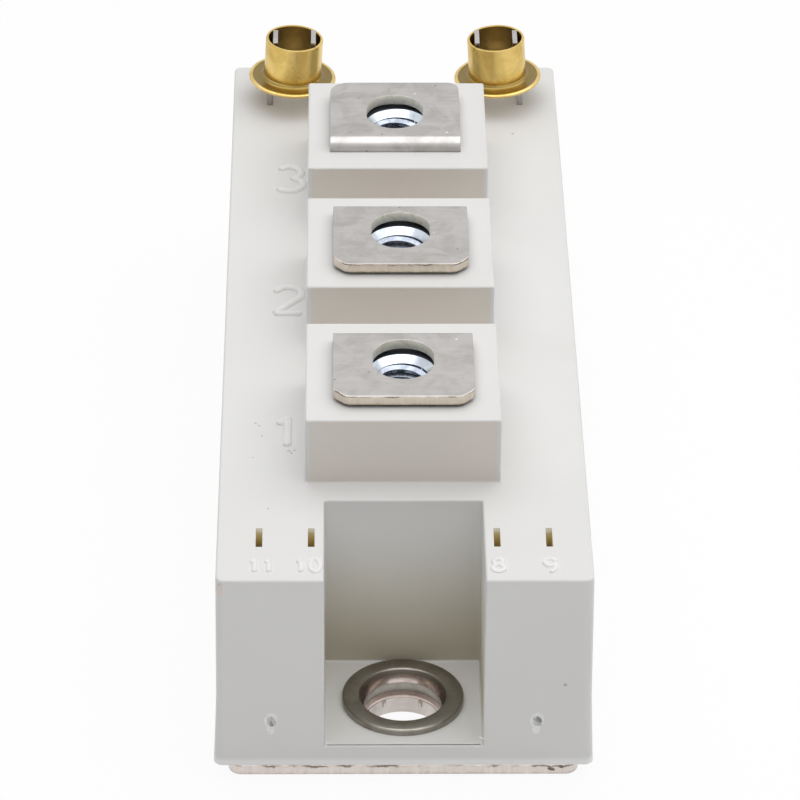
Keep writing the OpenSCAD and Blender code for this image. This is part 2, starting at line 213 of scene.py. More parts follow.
links.new(taken.outputs["Size"], cloud.inputs["Scale"])
links.new(where.outputs["Object"], fine.inputs["Vector"])
links.new(cloud.outputs["Fac"], shape.inputs["Value"])
links.new(taken.outputs["Grain"], grainy.inputs["Factor"])
links.new(shape.outputs["Result"], grainy.inputs["A"])
links.new(fine.outputs["Fac"], grainy.inputs["B"])
links.new(grainy.outputs["Result"], tint.inputs["Factor"])
links.new(taken.outputs["Clean"], tint.inputs[6])
links.new(taken.outputs["Stained"], tint.inputs[7])
links.new(grainy.outputs["Result"], rough.inputs["Factor"])
links.new(taken.outputs["Clean Roughness"], rough.inputs["A"])
links.new(taken.outputs["Stained Roughness"], rough.inputs["B"])
links.new(tint.outputs[2], given.inputs["Color"])
links.new(rough.outputs["Result"], given.inputs["Roughness"])
links.new(fine.outputs["Fac"], given.inputs["Height"])

# Sheared edge: across the sheet's thickness a dark worn foot, a bright sheared band, a ragged
# dark line where the metal tore, and a pale burr at the top.
torn_edge, nodes, links, taken, given = group(
    "torn edge",
    [
        ("Foot Height", "Float", 0.0),
        ("Thickness", "Float", 0.001),
        ("Foot", "Color", (0.4, 0.33, 0.22, 1)),
        ("Band", "Color", (0.86, 0.78, 0.68, 1)),
        ("Tear", "Color", (0.2, 0.16, 0.13, 1)),
        ("Burr", "Color", (0.9, 0.84, 0.8, 1)),
        ("Tear Place", "Float", 0.86),
    ],
    [("Color", "Color"), ("Roughness", "Float"), ("Height", "Float")],
)
where = add(nodes, "ShaderNodeTexCoord")
axes = add(nodes, "ShaderNodeSeparateXYZ")
level = add(nodes, "ShaderNodeMath", {"operation": "SUBTRACT"})
share = add(nodes, "ShaderNodeMath", {"operation": "DIVIDE"})
rag = add(nodes, "ShaderNodeTexNoise", Scale=1300.0, Detail=4.0, Roughness=0.7)
strength = add(nodes, "ShaderNodeTexNoise", Scale=520.0, Detail=2.0)
shift = add(nodes, "ShaderNodeMapRange")
shift.inputs["From Min"].default_value = 0.3
shift.inputs["From Max"].default_value = 0.7
shift.inputs["To Min"].default_value = -0.09
shift.inputs["To Max"].default_value = 0.09
ragged = add(nodes, "ShaderNodeMath", {"operation": "ADD"})
off = add(nodes, "ShaderNodeMath", {"operation": "SUBTRACT"})
apart = add(nodes, "ShaderNodeMath", {"operation": "ABSOLUTE"})
line = add(nodes, "ShaderNodeMapRange", {"interpolation_type": "SMOOTHSTEP"})
line.inputs["From Min"].default_value = 0.02
line.inputs["From Max"].default_value = 0.1
line.inputs["To Min"].default_value = 1.0
line.inputs["To Max"].default_value = 0.0
broken = add(nodes, "ShaderNodeMapRange", {"interpolation_type": "SMOOTHSTEP"})
broken.inputs["From Min"].default_value = 0.42
broken.inputs["From Max"].default_value = 0.6
torn = add(nodes, "ShaderNodeMath", {"operation": "MULTIPLY"})
above = add(nodes, "ShaderNodeMapRange", {"interpolation_type": "SMOOTHSTEP"})
above.inputs["From Min"].default_value = 0.02
above.inputs["From Max"].default_value = 0.1
low = add(nodes, "ShaderNodeMapRange", {"interpolation_type": "SMOOTHSTEP"})
low.inputs["From Min"].default_value = 0.02
low.inputs["From Max"].default_value = 0.2
streak = add(nodes, "ShaderNodeTexNoise", Scale=1.0, Detail=3.0)
squash = add(nodes, "ShaderNodeMapping")
squash.inputs["Scale"].default_value = (2600, 2600, 300)
toned = add(nodes, "ShaderNodeMix", {"data_type": "RGBA", "blend_type": "MULTIPLY"}, Factor=0.3)
foot_mix = add(nodes, "ShaderNodeMix", {"data_type": "RGBA"})
burr_mix = add(nodes, "ShaderNodeMix", {"data_type": "RGBA"})
tear_mix = add(nodes, "ShaderNodeMix", {"data_type": "RGBA"})
rough = add(nodes, "ShaderNodeMapRange")
rough.inputs["To Min"].default_value = 0.32
rough.inputs["To Max"].default_value = 0.6
links.new(where.outputs["Object"], axes.inputs["Vector"])
links.new(where.outputs["Object"], rag.inputs["Vector"])
links.new(where.outputs["Object"], strength.inputs["Vector"])
links.new(where.outputs["Object"], squash.inputs["Vector"])
links.new(squash.outputs["Vector"], streak.inputs["Vector"])
links.new(axes.outputs["Z"], level.inputs[0])
links.new(taken.outputs["Foot Height"], level.inputs[1])
links.new(level.outputs["Value"], share.inputs[0])
links.new(taken.outputs["Thickness"], share.inputs[1])
links.new(rag.outputs["Fac"], shift.inputs["Value"])
links.new(share.outputs["Value"], ragged.inputs[0])
links.new(shift.outputs["Result"], ragged.inputs[1])
links.new(ragged.outputs["Value"], off.inputs[0])
links.new(taken.outputs["Tear Place"], off.inputs[1])
links.new(off.outputs["Value"], apart.inputs[0])
links.new(apart.outputs["Value"], line.inputs["Value"])
links.new(strength.outputs["Fac"], broken.inputs["Value"])
links.new(line.outputs["Result"], torn.inputs[0])
links.new(broken.outputs["Result"], torn.inputs[1])
links.new(off.outputs["Value"], above.inputs["Value"])
links.new(ragged.outputs["Value"], low.inputs["Value"])
links.new(taken.outputs["Band"], toned.inputs[6])
links.new(streak.outputs["Fac"], toned.inputs[7])
links.new(low.outputs["Result"], foot_mix.inputs["Factor"])
links.new(taken.outputs["Foot"], foot_mix.inputs[6])
links.new(toned.outputs[2], foot_mix.inputs[7])
links.new(above.outputs["Result"], burr_mix.inputs["Factor"])
links.new(foot_mix.outputs[2], burr_mix.inputs[6])
links.new(taken.outputs["Burr"], burr_mix.inputs[7])
links.new(torn.outputs["Value"], tear_mix.inputs["Factor"])
links.new(burr_mix.outputs[2], tear_mix.inputs[6])
links.new(taken.outputs["Tear"], tear_mix.inputs[7])
links.new(tear_mix.outputs[2], given.inputs["Color"])
links.new(torn.outputs["Value"], rough.inputs["Value"])
links.new(rough.outputs["Result"], given.inputs["Roughness"])
links.new(streak.outputs["Fac"], given.inputs["Height"])

# Speckle: small spots of one size scattered over a surface; Share is how many are kept.
speckle, nodes, links, taken, given = group(
    "speckle",
    [("Size", "Float", 400.0), ("Share", "Float", 0.08), ("Reach", "Float", 0.15)],
    [("Mask", "Float")],
)
where = add(nodes, "ShaderNodeTexCoord")
spots = add(nodes, "ShaderNodeTexVoronoi", {"feature": "F1"}, Randomness=1.0)
chosen = add(nodes, "ShaderNodeSeparateColor")
lucky = add(nodes, "ShaderNodeMath", {"operation": "LESS_THAN"})
near = add(nodes, "ShaderNodeMapRange", {"interpolation_type": "SMOOTHSTEP"}, To_Min=1.0, To_Max=0.0)
both = add(nodes, "ShaderNodeMath", {"operation": "MULTIPLY"})
links.new(where.outputs["Object"], spots.inputs["Vector"])
links.new(taken.outputs["Size"], spots.inputs["Scale"])
links.new(spots.outputs["Color"], chosen.inputs["Color"])
links.new(chosen.outputs["Red"], lucky.inputs[0])
links.new(taken.outputs["Share"], lucky.inputs[1])
links.new(spots.outputs["Distance"], near.inputs["Value"])
links.new(taken.outputs["Reach"], near.inputs["From Max"])
links.new(lucky.outputs["Value"], both.inputs[0])
links.new(near.outputs["Result"], both.inputs[1])
links.new(both.outputs["Value"], given.inputs["Mask"])

base_nickel, nodes, links, shader = shader_of("nickel plated copper", (0.62, 0.58, 0.55), 1.0, 0.35)
stain = place(
    nodes, tarnish, Size=260.0, Clean=(0.62, 0.57, 0.54, 1), Stained=(0.5, 0.45, 0.41, 1),
    Clean_Roughness=0.3, Stained_Roughness=0.48,
)
grain = add(nodes, "ShaderNodeBump", Strength=0.15, Distance=0.00002)
links.new(stain.outputs["Color"], shader.inputs["Base Color"])
links.new(stain.outputs["Roughness"], shader.inputs["Roughness"])
links.new(stain.outputs["Height"], grain.inputs["Height"])
links.new(grain.outputs["Normal"], shader.inputs["Normal"])

plate_edge, nodes, links, shader = shader_of("sheared edge of the base plate", (0.7, 0.62, 0.57), 1.0, 0.4)
edge = place(
    nodes, torn_edge, Foot_Height=0.0, Thickness=0.0018, Tear_Place=0.53,
    Foot=(0.5, 0.43, 0.39, 1), Band=(0.78, 0.71, 0.66, 1), Tear=(0.26, 0.2, 0.18, 1), Burr=(0.8, 0.76, 0.74, 1),
)
dents = place(nodes, speckle, Size=420.0, Share=0.16, Reach=0.16)
dented = add(nodes, "ShaderNodeMix", {"data_type": "RGBA"})
dented.inputs[7].default_value = (0.3, 0.2, 0.19, 1)
grain = add(nodes, "ShaderNodeBump", Strength=0.2, Distance=0.00003)
links.new(edge.outputs["Color"], dented.inputs[6])
links.new(dents.outputs["Mask"], dented.inputs["Factor"])
links.new(dented.outputs[2], shader.inputs["Base Color"])
links.new(edge.outputs["Roughness"], shader.inputs["Roughness"])
links.new(edge.outputs["Height"], grain.inputs["Height"])
links.new(grain.outputs["Normal"], shader.inputs["Normal"])

plate = box_between("base_plate_metal", (-15.75, -46, 0), (15.75, 46, 3))
edit(plate)
pick("EDGE", lambda at, along: abs(along.z) > 0.9)
bevel(1.2, 6)
bpy.ops.object.mode_set(mode="OBJECT")
for side in (-1, 1):
    cut(plate, rod("hole", (0, side * 40), 3.42, -1, 5))
    cut(plate, rod("seat", (0, side * 40), 4.4, 1.65, 5))
edit(plate)
pick("EDGE", lambda at, along: abs(along.z) < 0.1 and (at.z < 0.01 or at.z > 2.99))
bevel(0.12, 2)
pick("FACE", lambda at, out: abs(out.z) < 0.8 and (abs(at.x) > 14 or abs(at.y) > 44.5))
plate.data.materials.append(base_nickel)
plate.data.materials.append(plate_edge)
plate.active_material_index = 1
bpy.ops.object.material_slot_assign()
bpy.ops.object.mode_set(mode="OBJECT")
dress(plate, "nickel_plate", base_nickel, plate_edge)
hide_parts("base_plate")

# Each bush is staked to the plate by two small upset ribs in the screw hole's wall.
for end, side in (("front", -1), ("rear", 1)):
    for n, turn in enumerate((61, 119)):
        angle = math.radians(turn)
        at = (3.4 * math.cos(angle), side * 40 + 3.4 * math.sin(angle))
        rib = rod(f"stake_{end}_{n + 1}", at, 0.17, 0.92, 1.6, 16)
        edit(rib)
        pick("EDGE", lambda at, along: abs(along.z) < 0.1)
        bevel(0.07, 2)
        bpy.ops.object.mode_set(mode="OBJECT")
        dress(rib, "nickel_plate", base_nickel)

# ---- Chips on their substrates ------------------------------------------------------------
# Two alumina tiles with copper on both faces carry the silicon chips, joined by aluminium
# wires. They lie under the gel and the closed case, so the solids stay as they are.

copper, nodes, links, shader = shader_of("bare copper", (0.76, 0.45, 0.32), 1.0, 0.35)
stain = place(nodes, tarnish, Size=180.0, Clean=(0.80, 0.47, 0.33, 1), Stained=(0.55, 0.30, 0.22, 1))
links.new(stain.outputs["Color"], shader.inputs["Base Color"])
links.new(stain.outputs["Roughness"], shader.inputs["Roughness"])

alumina, nodes, links, shader = shader_of("alumina", (0.9, 0.89, 0.86), 0.0, 0.6)
stain = place(
    nodes, tarnish, Size=500.0, Clean=(0.92, 0.91, 0.88, 1), Stained=(0.86, 0.84, 0.8, 1),
    Clean_Roughness=0.55, Stained_Roughness=0.7,
)
links.new(stain.outputs["Color"], shader.inputs["Base Color"])
links.new(stain.outputs["Roughness"], shader.inputs["Roughness"])

silicon, nodes, links, shader = shader_of("silicon", (0.28, 0.3, 0.34), 0.6, 0.25)
stain = place(
    nodes, tarnish, Size=700.0, Clean=(0.3, 0.32, 0.36, 1), Stained=(0.2, 0.21, 0.25, 1),
    Clean_Roughness=0.18, Stained_Roughness=0.3,
)
links.new(stain.outputs["Color"], shader.inputs["Base Color"])
links.new(stain.outputs["Roughness"], shader.inputs["Roughness"])

wire, nodes, links, shader = shader_of("aluminium wire", (0.85, 0.86, 0.87), 1.0, 0.3)
stain = place(nodes, tarnish, Size=900.0, Clean=(0.88, 0.88, 0.89, 1), Stained=(0.7, 0.7, 0.72, 1))
links.new(stain.outputs["Color"], shader.inputs["Base Color"])
links.new(stain.outputs["Roughness"], shader.inputs["Roughness"])

for name, finish in {
    "foil": copper, "circuit": copper, "gate_lead": copper, "emitter_lead": copper,
    "ceramic": alumina, "igbt_chips": silicon, "diode_chips": silicon,
    "bond_wires": wire, "link_wires": wire,
}.items():
    for node_name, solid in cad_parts.items():
        if node_name.startswith(name):
            solid.data.materials.clear()
            solid.data.materials.append(finish)

# ---- Gel ----------------------------------------------------------------------------------
# Clear silicone gel is poured over the chips and fills the case to a third of its height.

clear_gel, nodes, links, shader = shader_of("silicone gel", (0.86, 0.9, 0.91), 0.0, 0.15)
stain = place(
    nodes, tarnish, Size=60.0, Clean=(0.88, 0.91, 0.92, 1), Stained=(0.8, 0.84, 0.85, 1),
    Clean_Roughness=0.1, Stained_Roughness=0.2,
)
links.new(stain.outputs["Color"], shader.inputs["Base Color"])
links.new(stain.outputs["Roughness"], shader.inputs["Roughness"])
shader.inputs["IOR"].default_value = 1.41
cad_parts["gel"].data.materials.clear()
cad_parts["gel"].data.materials.append(clear_gel)

# ---- Case ---------------------------------------------------------------------------------
# One moulding of off-white glass-filled polyester, glued over the base plate. Its sides lean
# in two drafts, a block carries each terminal, and a recess at each end takes a screw.

# Zones: how deep a point lies in a screw recess, and whether it is on the side of a block. These masks place the
# painted recess shade and the painted warm shade on the blocks.
zones, nodes, links, taken, given = group(
    "zones of the case",
    [
        ("Recess Half Width", "Float", 0.0073),
        ("Recess Start", "Float", 0.0339),
        ("Recess End", "Float", 0.0464),
        ("Block Half Width", "Float", 0.0084),
        ("Block Reach", "Float", 0.0325),
    ],
    [("Recess Depth", "Float"), ("Block Side", "Float")],
)
where = add(nodes, "ShaderNodeTexCoord")
axes = add(nodes, "ShaderNodeSeparateXYZ")
links.new(where.outputs["Object"], axes.inputs["Vector"])
inside = []
for axis, socket, test in (
    ("X", "Recess Half Width", "LESS_THAN"), ("Y", "Recess Start", "GREATER_THAN"), ("Y", "Recess End", "LESS_THAN"),
    ("X", "Block Half Width", "LESS_THAN"), ("Y", "Block Reach", "LESS_THAN"),
):
    size = add(nodes, "ShaderNodeMath", {"operation": "ABSOLUTE"})
    check = add(nodes, "ShaderNodeMath", {"operation": test})
    links.new(axes.outputs[axis], size.inputs[0])
    links.new(size.outputs["Value"], check.inputs[0])
    links.new(taken.outputs[socket], check.inputs[1])
    inside.append(check)
depth = add(nodes, "ShaderNodeMapRange", {"interpolation_type": "SMOOTHSTEP"})
depth.inputs["From Min"].default_value = 0.0205
depth.inputs["From Max"].default_value = 0.004
wall = add(nodes, "ShaderNodeMath", {"operation": "GREATER_THAN"})
wall.inputs[1].default_value = 0.00415
steps = [*inside[:3], wall]
links.new(axes.outputs["Z"], wall.inputs[0])
links.new(axes.outputs["Z"], depth.inputs["Value"])
product = depth.outputs["Result"]
for check in steps:
    times = add(nodes, "ShaderNodeMath", {"operation": "MULTIPLY"})
    links.new(product, times.inputs[0])
    links.new(check.outputs["Value"], times.inputs[1])
    product = times.outputs["Value"]
links.new(product, given.inputs["Recess Depth"])
over = add(nodes, "ShaderNodeMath", {"operation": "GREATER_THAN"})
over.inputs[1].default_value = 0.02188
under = add(nodes, "ShaderNodeMath", {"operation": "LESS_THAN"})
under.inputs[1].default_value = 0.02834
side = add(nodes, "ShaderNodeMath", {"operation": "MULTIPLY"})
links.new(axes.outputs["Z"], over.inputs[0])
links.new(axes.outputs["Z"], under.inputs[0])
links.new(over.outputs["Value"], side.inputs[0])
links.new(under.outputs["Value"], side.inputs[1])
product = side.outputs["Value"]
for check in inside[3:]:
    times = add(nodes, "ShaderNodeMath", {"operation": "MULTIPLY"})
    links.new(product, times.inputs[0])
    links.new(check.outputs["Value"], times.inputs[1])
    product = times.outputs["Value"]
links.new(product, given.inputs["Block Side"])

plastic, nodes, links, shader = shader_of("off-white polyester", (0.8, 0.795, 0.785), 0.0, 0.48)
mottle = place(
    nodes, tarnish, Size=45.0, Clean=(0.8, 0.795, 0.785, 1), Stained=(0.775, 0.768, 0.75, 1),
    Clean_Roughness=0.42, Stained_Roughness=0.52, Grain=0.3,
)
zone = place(nodes, zones)
# Painted shade: the side and front walls of the terminal blocks get a warmer, darker colour as painted warm bounce
# light from the plastic.
painted_warm_shade = add(nodes, "ShaderNodeMix", {"data_type": "RGBA"})
painted_warm_shade.inputs[7].default_value = (0.79, 0.74, 0.68, 1)
# Painted shade: the walls of each screw recess turn darker and warmer towards the recess floor.
painted_recess_shade = add(nodes, "ShaderNodeMix", {"data_type": "RGBA"})
painted_recess_shade.inputs[7].default_value = (0.6, 0.56, 0.45, 1)
dots = place(nodes, speckle, Size=420.0, Share=0.012, Reach=0.11)
spotted = add(nodes, "ShaderNodeMix", {"data_type": "RGBA"})
spotted.inputs[7].default_value = (0.42, 0.38, 0.33, 1)
where = add(nodes, "ShaderNodeTexCoord")
axes = add(nodes, "ShaderNodeSeparateXYZ")
# Painted light: below about 2.8 mm the case blends to almost white, as light from the white table beneath.
foot = add(nodes, "ShaderNodeMapRange", {"interpolation_type": "SMOOTHSTEP"}, From_Min=0.0028, From_Max=0.0021)
painted_floor_light = add(nodes, "ShaderNodeMix", {"data_type": "RGBA"})
painted_floor_light.inputs[7].default_value = (0.97, 0.965, 0.955, 1)
grain = add(nodes, "ShaderNodeBump", Strength=0.12, Distance=0.00002)
links.new(where.outputs["Object"], axes.inputs["Vector"])
links.new(axes.outputs["Z"], foot.inputs["Value"])
links.new(foot.outputs["Result"], painted_floor_light.inputs["Factor"])
links.new(spotted.outputs[2], painted_floor_light.inputs[6])
links.new(zone.outputs["Block Side"], painted_warm_shade.inputs["Factor"])
links.new(mottle.outputs["Color"], painted_warm_shade.inputs[6])
links.new(zone.outputs["Recess Depth"], painted_recess_shade.inputs["Factor"])
links.new(painted_warm_shade.outputs[2], painted_recess_shade.inputs[6])
links.new(dots.outputs["Mask"], spotted.inputs["Factor"])
links.new(painted_recess_shade.outputs[2], spotted.inputs[6])
links.new(painted_floor_light.outputs[2], shader.inputs["Base Color"])
links.new(mottle.outputs["Roughness"], shader.inputs["Roughness"])
links.new(mottle.outputs["Height"], grain.inputs["Height"])
links.new(grain.outputs["Normal"], shader.inputs["Normal"])

# The walls of the tab slots carry painted light: pale at the top, painted shade that turns darker and amber deeper
# down, and a weak painted amber glow in the same colour for light coming through the plastic.
slot_painted_glow_and_shade, nodes, links, shader = shader_of("plastic in slots with painted glow and shade", (0.8, 0.6, 0.25), 0.0, 0.5)
where = add(nodes, "ShaderNodeTexCoord")
axes = add(nodes, "ShaderNodeSeparateXYZ")
sunk = add(nodes, "ShaderNodeMapRange")
sunk.inputs["From Min"].default_value = 0.0195
sunk.inputs["From Max"].default_value = 0.0218
cloud = add(nodes, "ShaderNodeTexNoise", Scale=900.0, Detail=3.0)
blotchy = add(nodes, "ShaderNodeMath", {"operation": "MULTIPLY_ADD"})
blotchy.inputs[1].default_value = 0.16
shade = add(nodes, "ShaderNodeValToRGB")
stops = shade.color_ramp.elements
stops[0].position, stops[0].color = 0.1, (0.26, 0.17, 0.07, 1)
stops[1].position, stops[1].color = 1.05, (0.8, 0.78, 0.7, 1)
stop = stops.new(0.55)
stop.color = (0.52, 0.4, 0.15, 1)
stop = stops.new(0.86)
stop.color = (0.62, 0.55, 0.35, 1)
links.new(where.outputs["Object"], axes.inputs["Vector"])
links.new(where.outputs["Object"], cloud.inputs["Vector"])
links.new(axes.outputs["Z"], sunk.inputs["Value"])
links.new(cloud.outputs["Fac"], blotchy.inputs[0])
links.new(sunk.outputs["Result"], blotchy.inputs[2])
links.new(blotchy.outputs["Value"], shade.inputs["Fac"])
links.new(shade.outputs["Color"], shader.inputs["Base Color"])
links.new(shade.outputs["Color"], shader.inputs["Emission Color"])
shader.inputs["Emission Strength"].default_value = 0.16

case = box_between("case", (-17, -47, 1.7), (17, 47, 9))
edit(case)
pick("FACE", lambda at, out: out.z > 0.9)
bpy.ops.transform.resize(value=(33.42 / 34, 93.8 / 94, 1))
bpy.ops.mesh.extrude_region_move(TRANSFORM_OT_translate={"value": (0, 0, 12.8 * mm)})
bpy.ops.transform.resize(value=(33.2 / 33.42, 93.6 / 93.8, 1))
pick("EDGE", lambda at, along: abs(along.z) > 0.9)
bevel(0.7, 5)
blocks = ((-31.3, -14.7), (-8.3, 8.3), (14.0, 31.3))
for x in (-8.81, 8.81):
    pick("FACE", lambda at, out: out.z > 0.9)
    bpy.ops.mesh.bisect(plane_co=(x * mm, 0, 0), plane_no=(1, 0, 0), threshold=1e-7)
for y in [edge for block in blocks for edge in block]:
    pick("FACE", lambda at, out: out.z > 0.9)
    bpy.ops.mesh.bisect(plane_co=(0, y * mm, 0), plane_no=(0, 1, 0), threshold=1e-7)
pick("FACE", lambda at, out: out.z > 0.9 and abs(at.x) < 8 and any(a < at.y < b for a, b in blocks))
bpy.ops.mesh.extrude_region_move(TRANSFORM_OT_translate={"value": (0, 0, 6.65 * mm)})
bpy.ops.mesh.select_all(action="SELECT")
bpy.ops.mesh.dissolve_limited(angle_limit=math.radians(0.05))
bpy.ops.object.mode_set(mode="OBJECT")
for side in (-1, 1):
    near_y, far_y = sorted((side * 34.15, side * 48))
    cut(case, box_between("recess", (-7.085, near_y, 3.94), (7.085, far_y, 25)))
edit(case)
pick("EDGE", lambda at, along: at.z < 1.71)
bevel(0.2, 2)
pick("EDGE", lambda at, along: abs(along.x) > 0.9 and abs(at.z - 3.94) < 0.01 and abs(at.y) > 46)
bevel(0.42, 3)
pick_sharp(35)
bevel(0.22, 3)
bpy.ops.object.mode_set(mode="OBJECT")

# The base plate's rebate, the hall over the chips and a shaft in each corner for the tabs.
cut(case, box_between("rebate", (-15.85, -46.1, 0), (15.85, 46.1, 3)))
cut(case, box_between("hall", (-14.9, -32.6, 2), (14.9, 32.6, 19.8)))
for side_x in (-1, 1):
    for side_y in (-1, 1):
        x0, x1 = sorted((side_x * 7.935, side_x * 14.9))
        y0, y1 = sorted((side_y * 32, side_y * 45.2))
        cut(case, box_between("shaft", (x0, y0, 2), (x1, y1, 19.8)))
        for x in (8.235, 12.86):
            x0, x1 = sorted((side_x * (x - 0.3), side_x * (x + 0.3)))
            y0, y1 = sorted((side_y * 38.62, side_y * 41.52))
            cut(case, box_between("slot", (x0, y0, 18), (x1, y1, 23)))
for side in (-1, 1):
    cut(case, rod("bush hole", (0, side * 40), 4.4, 1, 5))

# A hexagonal pocket, the screw's run-out and a slit for the leg in each terminal block.
nut_floor = 24.3
for y, low, high, play in ((-23, 4, 5.16, 0.08), (0, 4, 5.16, 0.09), (23, -5.85, -4.75, -0.22)):
    cut(case, rod("pocket", (0, y), 4.05 / math.cos(math.pi / 6), nut_floor, 31, 6, math.pi / 6))
    cut(case, rod("run-out", (0, y), 2.8, 20.8, 31))
    cut(case, box_between("slit", (play - 6.42, y + low, 18.8), (play + 6.42, y + high, 31)))

edit(case)
pick(
    "FACE",
    lambda at, out: abs(out.z) < 0.1 and 38.5 < abs(at.y) < 41.6 and 19 < at.z < 21.75
    and (7.9 < abs(at.x) < 8.6 or 12.5 < abs(at.x) < 13.2),
)
case.data.materials.append(plastic)
case.data.materials.append(slot_painted_glow_and_shade)
case.active_material_index = 1
bpy.ops.object.material_slot_assign()
bpy.ops.object.mode_set(mode="OBJECT")
dress(case, "case_plastic", plastic, slot_painted_glow_and_shade)
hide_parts("housing")

# ---- Numerals on the case -----------------------------------------------------------------
# Terminal numbers stand a fraction of a millimetre proud of the case, moulded with it as
# round-topped strokes: large beside the blocks, small in front of the tab slots.


def arc(x, y, across, up, start, end, steps=10):
    """Points along part of an ellipse, from one angle to another in degrees."""
    angles = [math.radians(start + (end - start) * n / steps) for n in range(steps + 1)]
    return [(x + across * math.cos(a), y + up * math.sin(a)) for a in angles]


# Each digit's strokes, in a box one unit high with its middle at the origin.
strokes = {
    "0": [arc(0, 0, 0.24, 0.5, 90, 450, 24)],
    "1": [[(0, -0.5), (0, 0.5)], [(0.03, 0.46), (-0.19, 0.24)]],
    "2": [[*arc(0, 0.23, 0.27, 0.27, 165, -35), (-0.28, -0.5)], [(-0.28, -0.5), (0.28, -0.5)]],
    "3": [arc(-0.03, 0.25, 0.24, 0.25, 150, -85), arc(-0.03, -0.23, 0.28, 0.27, 80, -150)],
    "8": [arc(0, 0.26, 0.2, 0.24, -90, 270, 20), arc(0, -0.24, 0.25, 0.26, 90, 450, 20)],
    "9": [arc(0, 0.22, 0.24, 0.28, 0, 360, 20), arc(-0.02, -0.02, 0.26, 0.48, 30, -100)],
}


def even(line, gap):
    """The same line with points every gap or so, each with its distance from the nearer end."""
    points, along = [line[0]], [0.0]
    for a, b in zip(line, line[1:]):
        count = max(1, round(math.dist(a, b) / gap))
        for n in range(1, count + 1):
            points.append((a[0] + (b[0] - a[0]) * n / count, a[1] + (b[1] - a[1]) * n / count))
            along.append(along[-1] + math.dist(a, b) / count)
    return [(*point, min(run, along[-1] - run)) for point, run in zip(points, along)]


# Painted highlight: the numerals are a lighter copy of the case plastic, so that they stand out brighter than the case
# top.
numeral_painted_highlight, nodes, links, shader = shader_of("raised plastic with painted highlight", (0.86, 0.855, 0.845), 0.0, 0.42)
mottle = place(
    nodes, tarnish, Size=600.0, Clean=(0.89, 0.885, 0.875, 1), Stained=(0.82, 0.81, 0.79, 1),
    Clean_Roughness=0.38, Stained_Roughness=0.5, Grain=0.3,
)
links.new(mottle.outputs["Color"], shader.inputs["Base Color"])
links.new(mottle.outputs["Roughness"], shader.inputs["Roughness"])

numerals = []
for digits, tall, wide, thick, x, y in (
    ("1", 4.9, 1.0, 0.84, -10.5, -22.9), ("2", 4.8, 1.0, 0.84, -10.62, 0.1), ("3", 4.8, 1.0, 0.84, -10.56, 23.3),
    ("11", 1.95, 0.95, 0.5, -12.57, -44.42), ("10", 1.95, 0.95, 0.5, -8.5, -44.42),
    ("8", 1.95, 1.05, 0.48, 8.23, -44.42), ("9", 1.95, 1.05, 0.48, 12.79, -44.42),
):
    for n, digit in enumerate(digits):
        centre = x + (n - (len(digits) - 1) / 2) * 1.27
        for line in strokes[digit]:
            pen = bpy.data.curves.new("stroke", "CURVE")
            pen.dimensions = "3D"
            pen.bevel_depth = thick / 2 * mm
            pen.bevel_resolution = 4
            pen.use_fill_caps = True
            path = pen.splines.new("POLY")
            line = even([(across * tall * wide, up * tall) for across, up in line], thick / 10)
            path.points.add(len(line) - 1)
            for point, (across, up, left) in zip(path.points, line):
                point.co = (across * mm, up * mm, 0, 1)
                share = min(1, 0.04 + left / (0.5 * thick))
                point.radius = math.sqrt(1 - (1 - share) ** 2)
            stroke = bpy.data.objects.new("stroke", pen)
            bpy.context.collection.objects.link(stroke)
            bpy.ops.object.select_all(action="DESELECT")
            stroke.select_set(True)
            bpy.context.view_layer.objects.active = stroke
            bpy.ops.object.convert(target="MESH")
            stroke = bpy.context.object
            stroke.scale = (1, 1, (0.3 if tall > 4 else 0.15) / (thick / 2))
            stroke.location = (centre * mm, y * mm, 21.8 * mm)
            bpy.ops.object.transform_apply(location=True, rotation=True, scale=True)
            numerals.append(stroke)
bpy.ops.object.select_all(action="DESELECT")
for stroke in numerals:
    stroke.select_set(True)
bpy.context.view_layer.objects.active = numerals[0]
bpy.ops.object.join()
numerals = bpy.context.object
numerals.name = numerals.data.name = "numerals"
edit(numerals)
bpy.ops.mesh.select_all(action="SELECT")
bpy.ops.mesh.normals_make_consistent(inside=False)
bpy.ops.object.mode_set(mode="OBJECT")
dress(numerals, "case_plastic", numeral_painted_highlight)

# ---- Gate marks and scuffs ----------------------------------------------------------------
# Where the mould's two gates broke off, each end wall keeps a rough grey pip in a pale halo.
# A few scuffs and specks of dirt came with use.

pip_grey, nodes, links, shader = shader_of("broken gate", (0.5, 0.49, 0.47), 0.0, 0.8)
broken = place(
    nodes, tarnish, Size=1500.0, Clean=(0.86, 0.85, 0.83, 1), Stained=(0.2, 0.195, 0.18, 1),
    Clean_Roughness=0.7, Stained_Roughness=0.9, Grain=0.2,
)
links.new(broken.outputs["Color"], shader.inputs["Base Color"])
links.new(broken.outputs["Roughness"], shader.inputs["Roughness"])

blush, nodes, links, shader = shader_of("stressed plastic", (0.93, 0.925, 0.92), 0.0, 0.6)
pale = place(
    nodes, tarnish, Size=1500.0, Clean=(0.98, 0.975, 0.97, 1), Stained=(0.86, 0.855, 0.85, 1),
    Clean_Roughness=0.55, Stained_Roughness=0.75, Grain=0.2,
)
links.new(pale.outputs["Color"], shader.inputs["Base Color"])
links.new(pale.outputs["Roughness"], shader.inputs["Roughness"])


